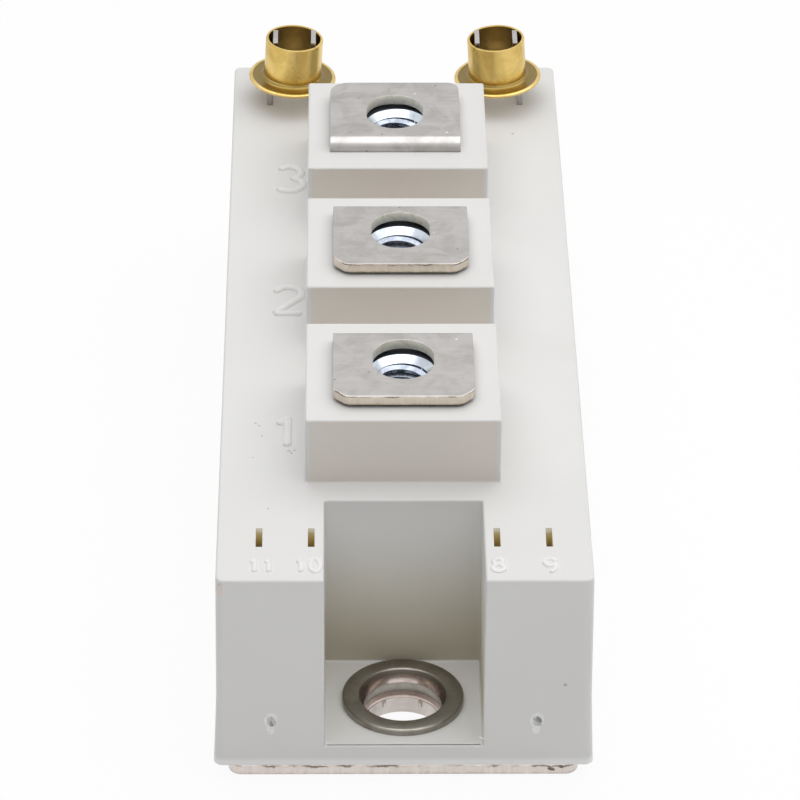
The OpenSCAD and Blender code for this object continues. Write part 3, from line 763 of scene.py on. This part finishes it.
def lens(name, at, size, turn=0.0, rough=0.0):
    """A flat rounded patch: a sphere primitive squeezed to a size and, if wanted, crumpled."""
    bpy.ops.object.select_all(action="DESELECT")
    bpy.ops.mesh.primitive_ico_sphere_add(
        subdivisions=4, radius=mm / 2, location=[c * mm for c in at], scale=size, rotation=(0, turn, 0)
    )
    patch = bpy.context.object
    patch.name = patch.data.name = name
    bpy.ops.object.transform_apply(location=True, rotation=True, scale=True)
    if rough:
        edit(patch)
        bpy.ops.mesh.select_all(action="SELECT")
        bpy.ops.transform.vertex_random(offset=rough * mm, uniform=0.2, normal=0.6, seed=3)
        bpy.ops.object.mode_set(mode="OBJECT")
    return patch


for end, side in (("front", -1), ("rear", 1)):
    face = side * (46.9 + 0.1 * (9 - 6.6) / 7.3)
    for hand, x in (("left", -11.85), ("right", 11.85)):
        halo = lens(f"halo_{end}_{hand}", (x, face - 0.03 * side, 6.72), (1.3, 0.18, 1.8), 0.12)
        dress(halo, "case_plastic", blush)
        tail = lens(f"tail_{end}_{hand}", (x - 0.04, face - 0.01 * side, 5.72), (0.8, 0.09, 1.3), 0.1)
        dress(tail, "case_plastic", blush)
        crumb = lens(f"gate_{end}_{hand}", (x + 0.04, face + 0.015 * side, 6.66), (0.84, 0.16, 1.16), 0.2 * side, 0.03)
        dress(crumb, "case_plastic", pip_grey)

# Dirt: a rubbed smear and a few grains by the first numeral, a brown stain at the front left
# corner, and dark marks on the base plate's front right corner.
dirt, nodes, links, shader = shader_of("dirt", (0.45, 0.4, 0.35), 0.0, 0.7)
smear = place(nodes, tarnish, Size=2500.0, Clean=(0.6, 0.56, 0.52, 1), Stained=(0.4, 0.35, 0.3, 1))
links.new(smear.outputs["Color"], shader.inputs["Base Color"])
links.new(smear.outputs["Roughness"], shader.inputs["Roughness"])
rust, nodes, links, shader = shader_of("brown stain", (0.74, 0.58, 0.47), 0.0, 0.6)
smear = place(nodes, tarnish, Size=900.0, Clean=(0.8, 0.75, 0.69, 1), Stained=(0.76, 0.63, 0.53, 1))
links.new(smear.outputs["Color"], shader.inputs["Base Color"])
links.new(smear.outputs["Roughness"], shader.inputs["Roughness"])
tar, nodes, links, shader = shader_of("dark grease", (0.2, 0.15, 0.13), 0.0, 0.5)
smear = place(nodes, tarnish, Size=1800.0, Clean=(0.34, 0.27, 0.23, 1), Stained=(0.14, 0.1, 0.08, 1))
links.new(smear.outputs["Color"], shader.inputs["Base Color"])
links.new(smear.outputs["Roughness"], shader.inputs["Roughness"])
for n, (x, y, long, broad, finish) in enumerate((
    (-13.45, -21.45, 0.3, 0.12, dirt), (-13.1, -21.9, 0.32, 0.09, dirt), (-12.8, -23.6, 0.17, 0.2, dirt),
    (-12.1, -35.5, 0.2, 0.12, dirt), (-13.6, -27.2, 0.1, 0.13, dirt), (-10.35, -26.1, 0.34, 0.13, dirt),
    (-10.1, -26.45, 0.16, 0.3, dirt), (-9.8, -26.0, 0.3, 0.1, dirt),
)):
    grain = lens(f"speck_{n + 1}", (x, y, 21.795), (long, broad, 0.05), 0, 0.01)
    dress(grain, "case_plastic", finish)
stain = lens("brown_stain", (-16.2, -46.81, 20.8), (0.5, 0.05, 1.3), 0, 0.004)
dress(stain, "case_plastic", rust)
for n, (x, z, long, tall) in enumerate(((14.2, 0.85, 0.5, 0.3), (14.75, 0.95, 0.3, 0.16), (13.3, 0.6, 0.7, 0.35))):
    grease = lens(f"grease_{n + 1}", (x, -46 + 0.5 * max(0, x - 14.3) ** 2, z), (long, 0.05, tall), 0.3, 0.004)
    dress(grease, "nickel_plate", tar)

# A curved white scuff low on the front wall, right of the recess.
bpy.ops.object.select_all(action="DESELECT")
bpy.ops.mesh.primitive_circle_add(
    vertices=8, radius=0.06 * mm, location=(9.3 * mm, -46.935 * mm, 4.38 * mm), rotation=(0, math.pi / 2, 0)
)
scuff = bpy.context.object
scuff.name = scuff.data.name = "scuff"
bpy.ops.object.transform_apply(location=True, rotation=True, scale=True)
edit(scuff)
bpy.ops.mesh.select_all(action="SELECT")
bpy.ops.transform.translate(value=(-0.9 * mm, 0, -0.08 * mm))
bpy.ops.mesh.spin(
    steps=12, angle=math.radians(22), center=(9.2 * mm, -46.935 * mm, (4.42 + 4.5) * mm), axis=(0, -1, 0)
)
bpy.ops.mesh.select_all(action="SELECT")
bpy.ops.mesh.fill_holes(sides=8)
bpy.ops.mesh.normals_make_consistent(inside=False)
bpy.ops.transform.resize(value=(1, 0.5, 1), center_override=(0, -46.93 * mm, 0))
bpy.ops.object.mode_set(mode="OBJECT")
dress(scuff, "case_plastic", blush)

# ---- Mounting bushes ----------------------------------------------------------------------
# Turned steel eyelets, dull nickel plated, pressed through the floor of each recess into the
# counterbore of the base plate. They carry the load of the mounting screws.


def turned(name, at, steps, sides=96):
    """A ring raised from a circle by extruding and scaling it through (radius, height) steps."""
    bpy.ops.object.select_all(action="DESELECT")
    radius, height = steps[0]
    centre = (at[0] * mm, at[1] * mm, height * mm)
    bpy.ops.mesh.primitive_circle_add(vertices=sides, radius=radius * mm, location=centre)
    piece = bpy.context.object
    piece.name = piece.data.name = name
    bpy.ops.object.transform_apply(location=True, rotation=True, scale=True)
    bpy.ops.object.mode_set(mode="EDIT")
    bpy.ops.mesh.select_mode(type="VERT")
    bpy.ops.mesh.select_all(action="SELECT")
    for (r0, z0), (r1, z1) in zip(steps, steps[1:] + steps[:1]):
        bpy.ops.mesh.extrude_region_move(TRANSFORM_OT_translate={"value": (0, 0, (z1 - z0) * mm)})
        bpy.ops.transform.resize(
            value=(r1 / r0, r1 / r0, 1), center_override=(at[0] * mm, at[1] * mm, z1 * mm)
        )
    bpy.ops.mesh.select_all(action="SELECT")
    bpy.ops.mesh.remove_doubles(threshold=1e-7)
    bpy.ops.mesh.normals_make_consistent(inside=False)
    bpy.ops.object.mode_set(mode="OBJECT")
    return piece


dull_nickel, nodes, links, shader = shader_of("dull nickel", (0.38, 0.35, 0.31), 1.0, 0.36)
stain = place(
    nodes, tarnish, Size=420.0, Clean=(0.34, 0.32, 0.285, 1), Stained=(0.23, 0.215, 0.185, 1),
    Clean_Roughness=0.28, Stained_Roughness=0.4, Grain=0.3,
)
grain = add(nodes, "ShaderNodeBump", Strength=0.2, Distance=0.00003)
links.new(stain.outputs["Color"], shader.inputs["Base Color"])
links.new(stain.outputs["Roughness"], shader.inputs["Roughness"])
links.new(stain.outputs["Height"], grain.inputs["Height"])
links.new(grain.outputs["Normal"], shader.inputs["Normal"])

# Inside, the two tapers get a lighter, pinker nickel than the rest of the bush.
taper_nickel, nodes, links, shader = shader_of("lighter nickel on the tapers", (0.7, 0.6, 0.57), 1.0, 0.25)
stain = place(
    nodes, tarnish, Size=600.0, Clean=(0.64, 0.55, 0.51, 1), Stained=(0.5, 0.42, 0.38, 1),
    Clean_Roughness=0.18, Stained_Roughness=0.3,
)
links.new(stain.outputs["Color"], shader.inputs["Base Color"])
links.new(stain.outputs["Roughness"], shader.inputs["Roughness"])

for end, side in (("front", -1), ("rear", 1)):
    bush = turned(
        "bush_" + end, (0, side * 40),
        [
            (3.92, 3.95), (3.9, 4.4), (3.93, 4.49), (4.0, 4.55), (4.1, 4.585),
            (5.3, 4.585), (5.41, 4.56), (5.48, 4.5), (5.5, 4.4), (5.5, 3.94),
            (4.35, 3.94), (4.35, 1.65), (3.46, 1.65), (3.46, 2.0), (3.62, 2.28), (3.62, 3.2), (3.55, 3.3),
        ],
    )
    edit(bush)
    pick(
        "FACE",
        lambda at, out: 3.31 < at.z < 3.94 and math.hypot(at.x, at.y - side * 40) < 4
        or 1.66 < at.z < 2.27 and math.hypot(at.x, at.y - side * 40) < 3.6,
    )
    bush.data.materials.append(dull_nickel)
    bush.data.materials.append(taper_nickel)
    bush.active_material_index = 1
    bpy.ops.object.material_slot_assign()
    bpy.ops.object.mode_set(mode="OBJECT")
    dress(bush, "dark_nickel", dull_nickel, taper_nickel)
    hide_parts("mounting_bush_" + end)

# ---- Main terminals -----------------------------------------------------------------------
# Nickel-plated copper strip, blanked, pushed up through the case and bent flat over its nut.
# The free end shows the sheared edge; the tail lands on the chips' copper inside.

strip_nickel, nodes, links, shader = shader_of("nickel plated strip", (0.5, 0.48, 0.465), 1.0, 0.32)
stain = place(
    nodes, tarnish, Size=330.0, Clean=(0.6, 0.58, 0.57, 1), Stained=(0.41, 0.39, 0.375, 1),
    Clean_Roughness=0.28, Stained_Roughness=0.42, Grain=0.3,
)
wide = add(nodes, "ShaderNodeTexCoord")
rolled = add(nodes, "ShaderNodeMapping")
rolled.inputs["Scale"].default_value = (220, 2400, 2400)
rolling = add(nodes, "ShaderNodeTexNoise", Scale=1.0, Detail=4.0, Roughness=0.6)
lines = add(nodes, "ShaderNodeMix", {"data_type": "RGBA", "blend_type": "MULTIPLY"}, Factor=0.22)
smudges = place(nodes, speckle, Size=430.0, Share=0.16, Reach=0.3)
smudged = add(nodes, "ShaderNodeMix", {"data_type": "RGBA"})
smudged.inputs[7].default_value = (0.36, 0.34, 0.33, 1)
faint = add(nodes, "ShaderNodeMath", {"operation": "MULTIPLY"})
faint.inputs[1].default_value = 0.5
nicks = place(nodes, speckle, Size=620.0, Share=0.12, Reach=0.13)
nicked = add(nodes, "ShaderNodeMix", {"data_type": "RGBA"})
nicked.inputs[7].default_value = (0.95, 0.93, 0.9, 1)
pits = place(nodes, speckle, Size=1300.0, Share=0.07, Reach=0.24)
pitted_colour = add(nodes, "ShaderNodeMix", {"data_type": "RGBA"})
pitted_colour.inputs[7].default_value = (0.13, 0.12, 0.11, 1)
grain = add(nodes, "ShaderNodeBump", Strength=0.16, Distance=0.00003)
pitted = add(nodes, "ShaderNodeBump", {"invert": True}, Strength=0.5, Distance=0.00006)
links.new(wide.outputs["Object"], rolled.inputs["Vector"])
links.new(rolled.outputs["Vector"], rolling.inputs["Vector"])
links.new(stain.outputs["Color"], lines.inputs[6])
links.new(rolling.outputs["Fac"], lines.inputs[7])
links.new(smudges.outputs["Mask"], faint.inputs[0])
links.new(faint.outputs["Value"], smudged.inputs["Factor"])
links.new(lines.outputs[2], smudged.inputs[6])
links.new(nicks.outputs["Mask"], nicked.inputs["Factor"])
links.new(smudged.outputs[2], nicked.inputs[6])
links.new(pits.outputs["Mask"], pitted_colour.inputs["Factor"])
links.new(nicked.outputs[2], pitted_colour.inputs[6])
links.new(pitted_colour.outputs[2], shader.inputs["Base Color"])
links.new(stain.outputs["Roughness"], shader.inputs["Roughness"])
links.new(rolling.outputs["Fac"], grain.inputs["Height"])
links.new(pits.outputs["Mask"], pitted.inputs["Height"])
links.new(grain.outputs["Normal"], pitted.inputs["Normal"])
links.new(pitted.outputs["Normal"], shader.inputs["Normal"])

sheared, nodes, links, shader = shader_of("sheared edge of the strip", (0.66, 0.58, 0.49), 1.0, 0.42)
edge = place(nodes, torn_edge, Foot_Height=0.02875, Thickness=0.001, Tear_Place=0.84, Band=(0.79, 0.71, 0.61, 1))
grain = add(nodes, "ShaderNodeBump", Strength=0.25, Distance=0.00003)
links.new(edge.outputs["Color"], shader.inputs["Base Color"])
links.new(edge.outputs["Roughness"], shader.inputs["Roughness"])
links.new(edge.outputs["Height"], grain.inputs["Height"])
links.new(grain.outputs["Normal"], shader.inputs["Normal"])

# The hole's wall was blanked too, and is duller than the rolled face.
blanked, nodes, links, shader = shader_of("blanked hole", (0.7, 0.68, 0.6), 1.0, 0.6)
stain = place(
    nodes, tarnish, Size=900.0, Clean=(0.86, 0.84, 0.76, 1), Stained=(0.6, 0.58, 0.5, 1),
    Clean_Roughness=0.55, Stained_Roughness=0.75, Grain=0.3,
)
links.new(stain.outputs["Color"], shader.inputs["Base Color"])
links.new(stain.outputs["Roughness"], shader.inputs["Roughness"])

for number, y, way, tail, reach, play, left_corner, right_corner in (
    (1, -23, 1, 6.23, 5.11, 0.08, 1.2, 1.2),
    (2, 0, 1, 6.23, 5.11, 0.09, 1.2, 1.2),
    (3, 23, -1, 5.98, 5.8, -0.22, 1.9, 1.2),
):
    y0, y1 = sorted((y - way * tail, y + way * (reach - 1)))
    strip = box_between(f"terminal_{number}_strip", (play - 6.4, y0, 28.75), (play + 6.4, y1, 29.75))
    edit(strip)
    pick("FACE", lambda at, out: out.y * way > 0.9)
    bpy.ops.mesh.extrude_region_move(TRANSFORM_OT_translate={"value": (0, way * mm, 0)})
    pick("FACE", lambda at, out: out.z < -0.9 and (at.y - y) * way > reach - 1)
    bpy.ops.mesh.extrude_region_move(TRANSFORM_OT_translate={"value": (0, 0, -15.75 * mm)})
    for corner_y, corner_z, radius in ((reach, 29.75, 1.4), (reach - 1, 28.75, 0.4)):
        pick(
            "EDGE",
            lambda at, along: abs(along.x) > 0.9 and abs((at.y - y) * way - corner_y) < 0.01
            and abs(at.z - corner_z) < 0.01,
        )
        bevel(radius, 8)
    for half, corner in ((-1, left_corner), (1, right_corner)):
        pick(
            "EDGE",
            lambda at, along: abs(along.z) > 0.9 and at.z > 28.7 and (at.y - y) * way < -tail + 0.1
            and (at.x - play) * half > 6.3,
        )
        bevel(corner, 6 if number == 3 else 1)
    if number < 3:
        pick(
            "EDGE",
            lambda at, along: abs(along.z) > 0.9 and at.z > 28.7 and (at.y - y) * way < -tail + 1.3,
        )
        bevel(0.4, 3)
    bpy.ops.object.mode_set(mode="OBJECT")
    slot_cutter = rod("hole", (play, y), 2.8, 28, 31)
    edit(slot_cutter)
    for half in (-1, 1):
        pick("VERT", lambda at, out: (at.y - y) * half > 0.01)
        bpy.ops.transform.translate(value=(0, half * 0.535 * mm, 0))
    bpy.ops.object.mode_set(mode="OBJECT")
    cut(strip, slot_cutter)
    edit(strip)
    pick_sharp(35)
    bevel(0.07, 2)
    pick("FACE", lambda at, out: abs(out.z) < 0.75 and (at.y - y) * way < -tail + 1.25 and at.z > 28.7)
    strip.data.materials.append(strip_nickel)
    strip.data.materials.append(sheared)
    strip.data.materials.append(blanked)
    strip.active_material_index = 1
    bpy.ops.object.material_slot_assign()
    pick(
        "FACE",
        lambda at, out: abs(out.z) < 0.5 and 28.7 < at.z and abs(at.x - play) < 2.9 and abs(at.y - y) < 3.4,
    )
    strip.active_material_index = 2
    bpy.ops.object.material_slot_assign()
    bpy.ops.object.mode_set(mode="OBJECT")
    dress(strip, "nickel_plate", strip_nickel, sheared, blanked)
    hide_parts(f"terminal_{number}")

# ---- Nuts ---------------------------------------------------------------------------------
# M5 steel nuts, zinc plated with a blue tinge, loose in their pockets under the terminals.

zinc, nodes, links, shader = shader_of("blue zinc", (0.7, 0.75, 0.82), 1.0, 0.22)
stain = place(
    nodes, tarnish, Size=600.0, Clean=(0.66, 0.72, 0.8, 1), Stained=(0.42, 0.46, 0.53, 1),
    Clean_Roughness=0.16, Stained_Roughness=0.32,
)
links.new(stain.outputs["Color"], shader.inputs["Base Color"])
links.new(stain.outputs["Roughness"], shader.inputs["Roughness"])

# Painted shade: the thread is a darker copy of the zinc, as the shade deep in the bore.
thread_zinc_painted_shade, nodes, links, shader = shader_of("zinc in the thread with painted shade", (0.4, 0.44, 0.5), 1.0, 0.3)
stain = place(
    nodes, tarnish, Size=600.0, Clean=(0.44, 0.48, 0.56, 1), Stained=(0.2, 0.22, 0.27, 1),
    Clean_Roughness=0.22, Stained_Roughness=0.36,
)
links.new(stain.outputs["Color"], shader.inputs["Base Color"])
links.new(stain.outputs["Roughness"], shader.inputs["Roughness"])

# Painted shade: the nut's flat top and bottom faces get a dark zinc, as the shade in the gap under the terminal.
zinc_painted_shade, nodes, links, shader = shader_of("zinc with painted shade", (0.2, 0.21, 0.23), 1.0, 0.5)
stain = place(
    nodes, tarnish, Size=600.0, Clean=(0.22, 0.23, 0.25, 1), Stained=(0.12, 0.125, 0.14, 1),
    Clean_Roughness=0.45, Stained_Roughness=0.6,
)
links.new(stain.outputs["Color"], shader.inputs["Base Color"])
links.new(stain.outputs["Roughness"], shader.inputs["Roughness"])

for number, y in ((1, -23), (2, 0), (3, 23)):
    corner = 4 / math.cos(math.pi / 6)
    top = nut_floor + 4
    nut = rod(f"nut_{number}_m5", (0, y), corner, nut_floor, top, 6, math.pi / 6)
    round_blank = rod("chamfer", (0, y), corner + 0.02, nut_floor, top, 96)
    edit(round_blank)
    pick("EDGE", lambda at, along: abs(along.z) < 0.1)
    bevel(0.6, 1)
    bpy.ops.object.mode_set(mode="OBJECT")
    cut(nut, round_blank, "INTERSECT")
    cut(nut, rod("drill", (0, y), 2.5, 22, 29))
    for z0, z1, low, high in ((top - 0.65, top + 0.15, 2.45, 3.25), (nut_floor - 0.15, nut_floor + 0.45, 3.0, 2.5)):
        bpy.ops.object.select_all(action="DESELECT")
        bpy.ops.mesh.primitive_cone_add(
            vertices=64, radius1=low * mm, radius2=high * mm, depth=(z1 - z0) * mm,
            location=(0, y * mm, (z0 + z1) / 2 * mm),
        )
        sink = bpy.context.object
        bpy.ops.object.transform_apply(location=True, rotation=True, scale=True)
        cut(nut, sink)
    edit(nut)
    pick("FACE", lambda at, out: abs(out.z) > 0.95)
    nut.data.materials.append(zinc)
    nut.data.materials.append(zinc_painted_shade)
    nut.active_material_index = 1
    bpy.ops.object.material_slot_assign()
    bpy.ops.object.mode_set(mode="OBJECT")
    dress(nut, "zinc_plate", zinc, zinc_painted_shade)
    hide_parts(f"nut_{number}")

    # The thread: a wedge-shaped ridge wound round the bore, five turns of 0.8 mm pitch.
    bpy.ops.object.select_all(action="DESELECT")
    bpy.ops.mesh.primitive_circle_add(
        vertices=3, radius=0.31 * mm, location=(2.41 * mm, y * mm, (nut_floor + 0.4) * mm),
        rotation=(math.pi / 2, -math.pi / 2, 0),
    )
    thread = bpy.context.object
    thread.name = thread.data.name = f"nut_{number}_thread"
    bpy.ops.object.transform_apply(location=True, rotation=True, scale=True)
    edit(thread)
    bpy.ops.mesh.select_all(action="SELECT")
    bpy.ops.transform.translate(value=(0, -y * mm, 0))
    bpy.ops.object.mode_set(mode="OBJECT")
    wind = thread.modifiers.new("wind", "SCREW")
    wind.angle = 2 * math.pi
    wind.screw_offset = 0.8 * mm
    wind.iterations = 4
    wind.steps = wind.render_steps = 48
    bpy.ops.object.modifier_apply(modifier=wind.name)
    edit(thread)
    bpy.ops.mesh.select_all(action="SELECT")
    bpy.ops.transform.translate(value=(0, y * mm, 0))
    bpy.ops.mesh.fill_holes(sides=3)
    bpy.ops.mesh.normals_make_consistent(inside=False)
    bpy.ops.object.mode_set(mode="OBJECT")
    dress(thread, "zinc_plate", thread_zinc_painted_shade)

# ---- Auxiliary tabs -----------------------------------------------------------------------
# Four 2.8 x 0.5 mm blades for the gate and emitter wires, pinched together at their tops by
# the ferrules. Plated like the terminals.

for name, base, root, tip in (
    ("gate_tab_lower", -12.86, -12.42, -12.22), ("emitter_tab_lower", -8.235, -8.55, -8.36),
    ("emitter_tab_upper", 8.235, 8.55, 8.36), ("gate_tab_upper", 12.86, 12.42, 12.22),
):
    blade = box_between(name + "_blade", (base - 0.25, 38.67, 6), (base + 0.25, 41.47, 22))
    edit(blade)
    pick("FACE", lambda at, out: out.z > 0.9)
    bpy.ops.mesh.extrude_region_move(TRANSFORM_OT_translate={"value": ((root - base) * mm, 0, 2.9 * mm)})
    bpy.ops.mesh.extrude_region_move(TRANSFORM_OT_translate={"value": ((tip - root) * mm, 0, 4.1 * mm)})
    pick_sharp(60)
    bevel(0.05, 2)
    bpy.ops.object.mode_set(mode="OBJECT")
    dress(blade, "nickel_plate", strip_nickel)
    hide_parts(name)

# ---- Shorting ferrules --------------------------------------------------------------------
# Drawn brass eyelets pushed over each pair of tabs, so that nothing charges the gates in
# transport: a straight neck flared out into a flat flange.

brass, nodes, links, shader = shader_of("bright brass", (0.66, 0.46, 0.12), 1.0, 0.25)
stain = place(
    nodes, tarnish, Size=350.0, Clean=(0.8, 0.58, 0.2, 1), Stained=(0.58, 0.4, 0.1, 1),
    Clean_Roughness=0.2, Stained_Roughness=0.34,
)
# Painted reflection and shade: faces of the flange and the neck root that face upward, below about 25.6 mm, blend to
# dark brown.
where = add(nodes, "ShaderNodeTexCoord")
axes = add(nodes, "ShaderNodeSeparateXYZ")
low = add(nodes, "ShaderNodeMapRange", {"interpolation_type": "SMOOTHSTEP"})
low.inputs["From Min"].default_value = 0.0256
low.inputs["From Max"].default_value = 0.0246
flange_painted_dark = add(nodes, "ShaderNodeMix", {"data_type": "RGBA"})
flange_painted_dark.inputs[7].default_value = (0.24, 0.17, 0.055, 1)
facing = add(nodes, "ShaderNodeSeparateXYZ")
upward = add(nodes, "ShaderNodeMapRange", {"interpolation_type": "SMOOTHSTEP"})
upward.inputs["From Min"].default_value = 0.15
upward.inputs["From Max"].default_value = 0.6
flange_dark_mask = add(nodes, "ShaderNodeMath", {"operation": "MULTIPLY"})
links.new(where.outputs["Object"], axes.inputs["Vector"])
links.new(where.outputs["Normal"], facing.inputs["Vector"])
links.new(axes.outputs["Z"], low.inputs["Value"])
links.new(facing.outputs["Z"], upward.inputs["Value"])
links.new(low.outputs["Result"], flange_dark_mask.inputs[0])
links.new(upward.outputs["Result"], flange_dark_mask.inputs[1])
links.new(flange_dark_mask.outputs["Value"], flange_painted_dark.inputs["Factor"])
links.new(stain.outputs["Color"], flange_painted_dark.inputs[6])
links.new(flange_painted_dark.outputs[2], shader.inputs["Base Color"])
links.new(stain.outputs["Roughness"], shader.inputs["Roughness"])

# The rolled rim stays bright, outside the painted dark of the flange; the inside of the neck gets a darker brown as
# painted shade.
rim_brass, nodes, links, shader = shader_of("bright rim", (0.74, 0.54, 0.2), 1.0, 0.3)
stain = place(
    nodes, tarnish, Size=500.0, Clean=(0.78, 0.58, 0.24, 1), Stained=(0.6, 0.43, 0.14, 1),
    Clean_Roughness=0.25, Stained_Roughness=0.36,
)
links.new(stain.outputs["Color"], shader.inputs["Base Color"])
links.new(stain.outputs["Roughness"], shader.inputs["Roughness"])
neck_inside_painted_shade, nodes, links, shader = shader_of("brass with painted shade inside", (0.45, 0.3, 0.09), 1.0, 0.4)
stain = place(
    nodes, tarnish, Size=300.0, Clean=(0.5, 0.34, 0.11, 1), Stained=(0.36, 0.23, 0.06, 1),
    Clean_Roughness=0.32, Stained_Roughness=0.45,
)
links.new(stain.outputs["Color"], shader.inputs["Base Color"])
links.new(stain.outputs["Roughness"], shader.inputs["Roughness"])

for name, side in (("left", -1), ("right", 1)):
    x, y, z = side * 10.5475, 40.07, 24.2
    inner = [(2.925 + 0.4 - 0.7 * math.sin(a), z + 0.7 - 0.7 * math.cos(a)) for a in
             [math.radians(d) for d in (0, 15, 30, 45, 60, 75, 90)]]
    outer = [(2.925 + 0.4 - 0.4 * math.sin(a), z + 0.7 - 0.4 * math.cos(a)) for a in
             [math.radians(d) for d in (90, 75, 60, 45, 30, 15, 0)]]
    ferrule = turned(
        "ferrule_" + name + "_brass", (x, y),
        [(4.4, z), *inner, (2.625, z + 4.52), (2.67, z + 4.6), (2.86, z + 4.6), (2.925, z + 4.5),
         *outer, (4.1, z + 0.3), (4.22, z + 0.33), (4.34, z + 0.31), (4.42, z + 0.24), (4.45, z + 0.14),
         (4.43, z + 0.04)],
    )
    edit(ferrule)
    ferrule.data.materials.append(brass)
    ferrule.data.materials.append(rim_brass)
    ferrule.data.materials.append(neck_inside_painted_shade)
    pick("FACE", lambda at, out: math.hypot(at.x - x, at.y - y) > 4.12)
    ferrule.active_material_index = 1
    bpy.ops.object.material_slot_assign()
    pick("FACE", lambda at, out: math.hypot(at.x - x, at.y - y) < 2.64 and z + 0.6 < at.z < z + 4.5)
    ferrule.active_material_index = 2
    bpy.ops.object.material_slot_assign()
    bpy.ops.mesh.select_all(action="SELECT")
    bpy.ops.transform.rotate(
        value=math.radians(side * 3.3), orient_axis="Y", center_override=(x * mm, y * mm, z * mm)
    )
    bpy.ops.object.mode_set(mode="OBJECT")
    dress(ferrule, "brass_sheet", brass, rim_brass, neck_inside_painted_shade)
    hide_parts("ferrule_" + name)

# ---- Studio -------------------------------------------------------------------------------
# A white table under one broad soft light, a little to the front. Metal and camera see white
# all round, while the room that lights the plastic is brighter behind than in front.

bpy.ops.object.select_all(action="DESELECT")
bpy.ops.mesh.primitive_plane_add(size=4, location=(0, 0, 0))
table = bpy.context.object
table.name = table.data.name = "table"


def seen_or_mirrored(nodes, links, share):
    """A factor that is a share for what the camera, metal or glass sees, and else 0."""
    path = add(nodes, "ShaderNodeLightPath")
    total = None
    for ray in ("Is Camera Ray", "Is Glossy Ray", "Is Transmission Ray"):
        if total is None:
            total = path.outputs[ray]
            continue
        either = add(nodes, "ShaderNodeMath", {"operation": "MAXIMUM"})
        links.new(total, either.inputs[0])
        links.new(path.outputs[ray], either.inputs[1])
        total = either.outputs["Value"]
    scaled = add(nodes, "ShaderNodeMath", {"operation": "MULTIPLY"})
    scaled.inputs[1].default_value = share
    links.new(total, scaled.inputs[0])
    return scaled.outputs["Value"]


paper, nodes, links, shader = shader_of("white paper", (0.97, 0.97, 0.97), 0.0, 0.9)
white = add(nodes, "ShaderNodeEmission", Strength=1.0)
mixed = add(nodes, "ShaderNodeMixShader")
links.new(seen_or_mirrored(nodes, links, 0.92), mixed.inputs["Fac"])
links.new(shader.outputs["BSDF"], mixed.inputs[1])
links.new(white.outputs["Emission"], mixed.inputs[2])
links.new(mixed.outputs["Shader"], nodes["Material Output"].inputs["Surface"])
table.data.materials.append(paper)

world = bpy.data.worlds.new("studio")
bpy.context.scene.world = world
world.use_nodes = True
nodes, links = world.node_tree.nodes, world.node_tree.links
room = nodes["Background"]
way = add(nodes, "ShaderNodeTexCoord")
axes = add(nodes, "ShaderNodeSeparateXYZ")
rearward = add(nodes, "ShaderNodeMapRange", {"interpolation_type": "SMOOTHSTEP"}, From_Min=-0.3, From_Max=0.9)
rearward.inputs["To Min"].default_value = 0.14
rearward.inputs["To Max"].default_value = 0.6
links.new(way.outputs["Generated"], axes.inputs["Vector"])
links.new(axes.outputs["Y"], rearward.inputs["Value"])
links.new(rearward.outputs["Result"], room.inputs["Strength"])
room.inputs["Color"].default_value = (1, 1, 1, 1)
white = add(nodes, "ShaderNodeBackground", Strength=1.0)
white.inputs["Color"].default_value = (1, 1, 1, 1)
mixed = add(nodes, "ShaderNodeMixShader")
links.new(seen_or_mirrored(nodes, links, 1.0), mixed.inputs["Fac"])
links.new(room.outputs["Background"], mixed.inputs[1])
links.new(white.outputs["Background"], mixed.inputs[2])
links.new(mixed.outputs["Shader"], nodes["World Output"].inputs["Surface"])

bpy.ops.object.light_add(type="AREA", location=(0.06, -0.16, 0.5), rotation=(math.radians(-14), math.radians(7), 0))
softbox = bpy.context.object
softbox.name = "softbox"
softbox.data.shape = "RECTANGLE"
softbox.data.size = 0.88
softbox.data.size_y = 0.92
softbox.data.energy = 3.35

bpy.ops.object.camera_add(
    location=(-0.0056651, -0.3797235, 0.2543335),
    rotation=(math.radians(57.30098), math.radians(-0.35742), math.radians(-0.64840)),
)
camera = bpy.context.object
camera.data.lens = 209.0355
camera.data.sensor_width = 36
camera.data.clip_start = 0.01
camera.data.clip_end = 20
bpy.context.scene.camera = camera
bpy.context.scene.view_settings.view_transform = "Standard"
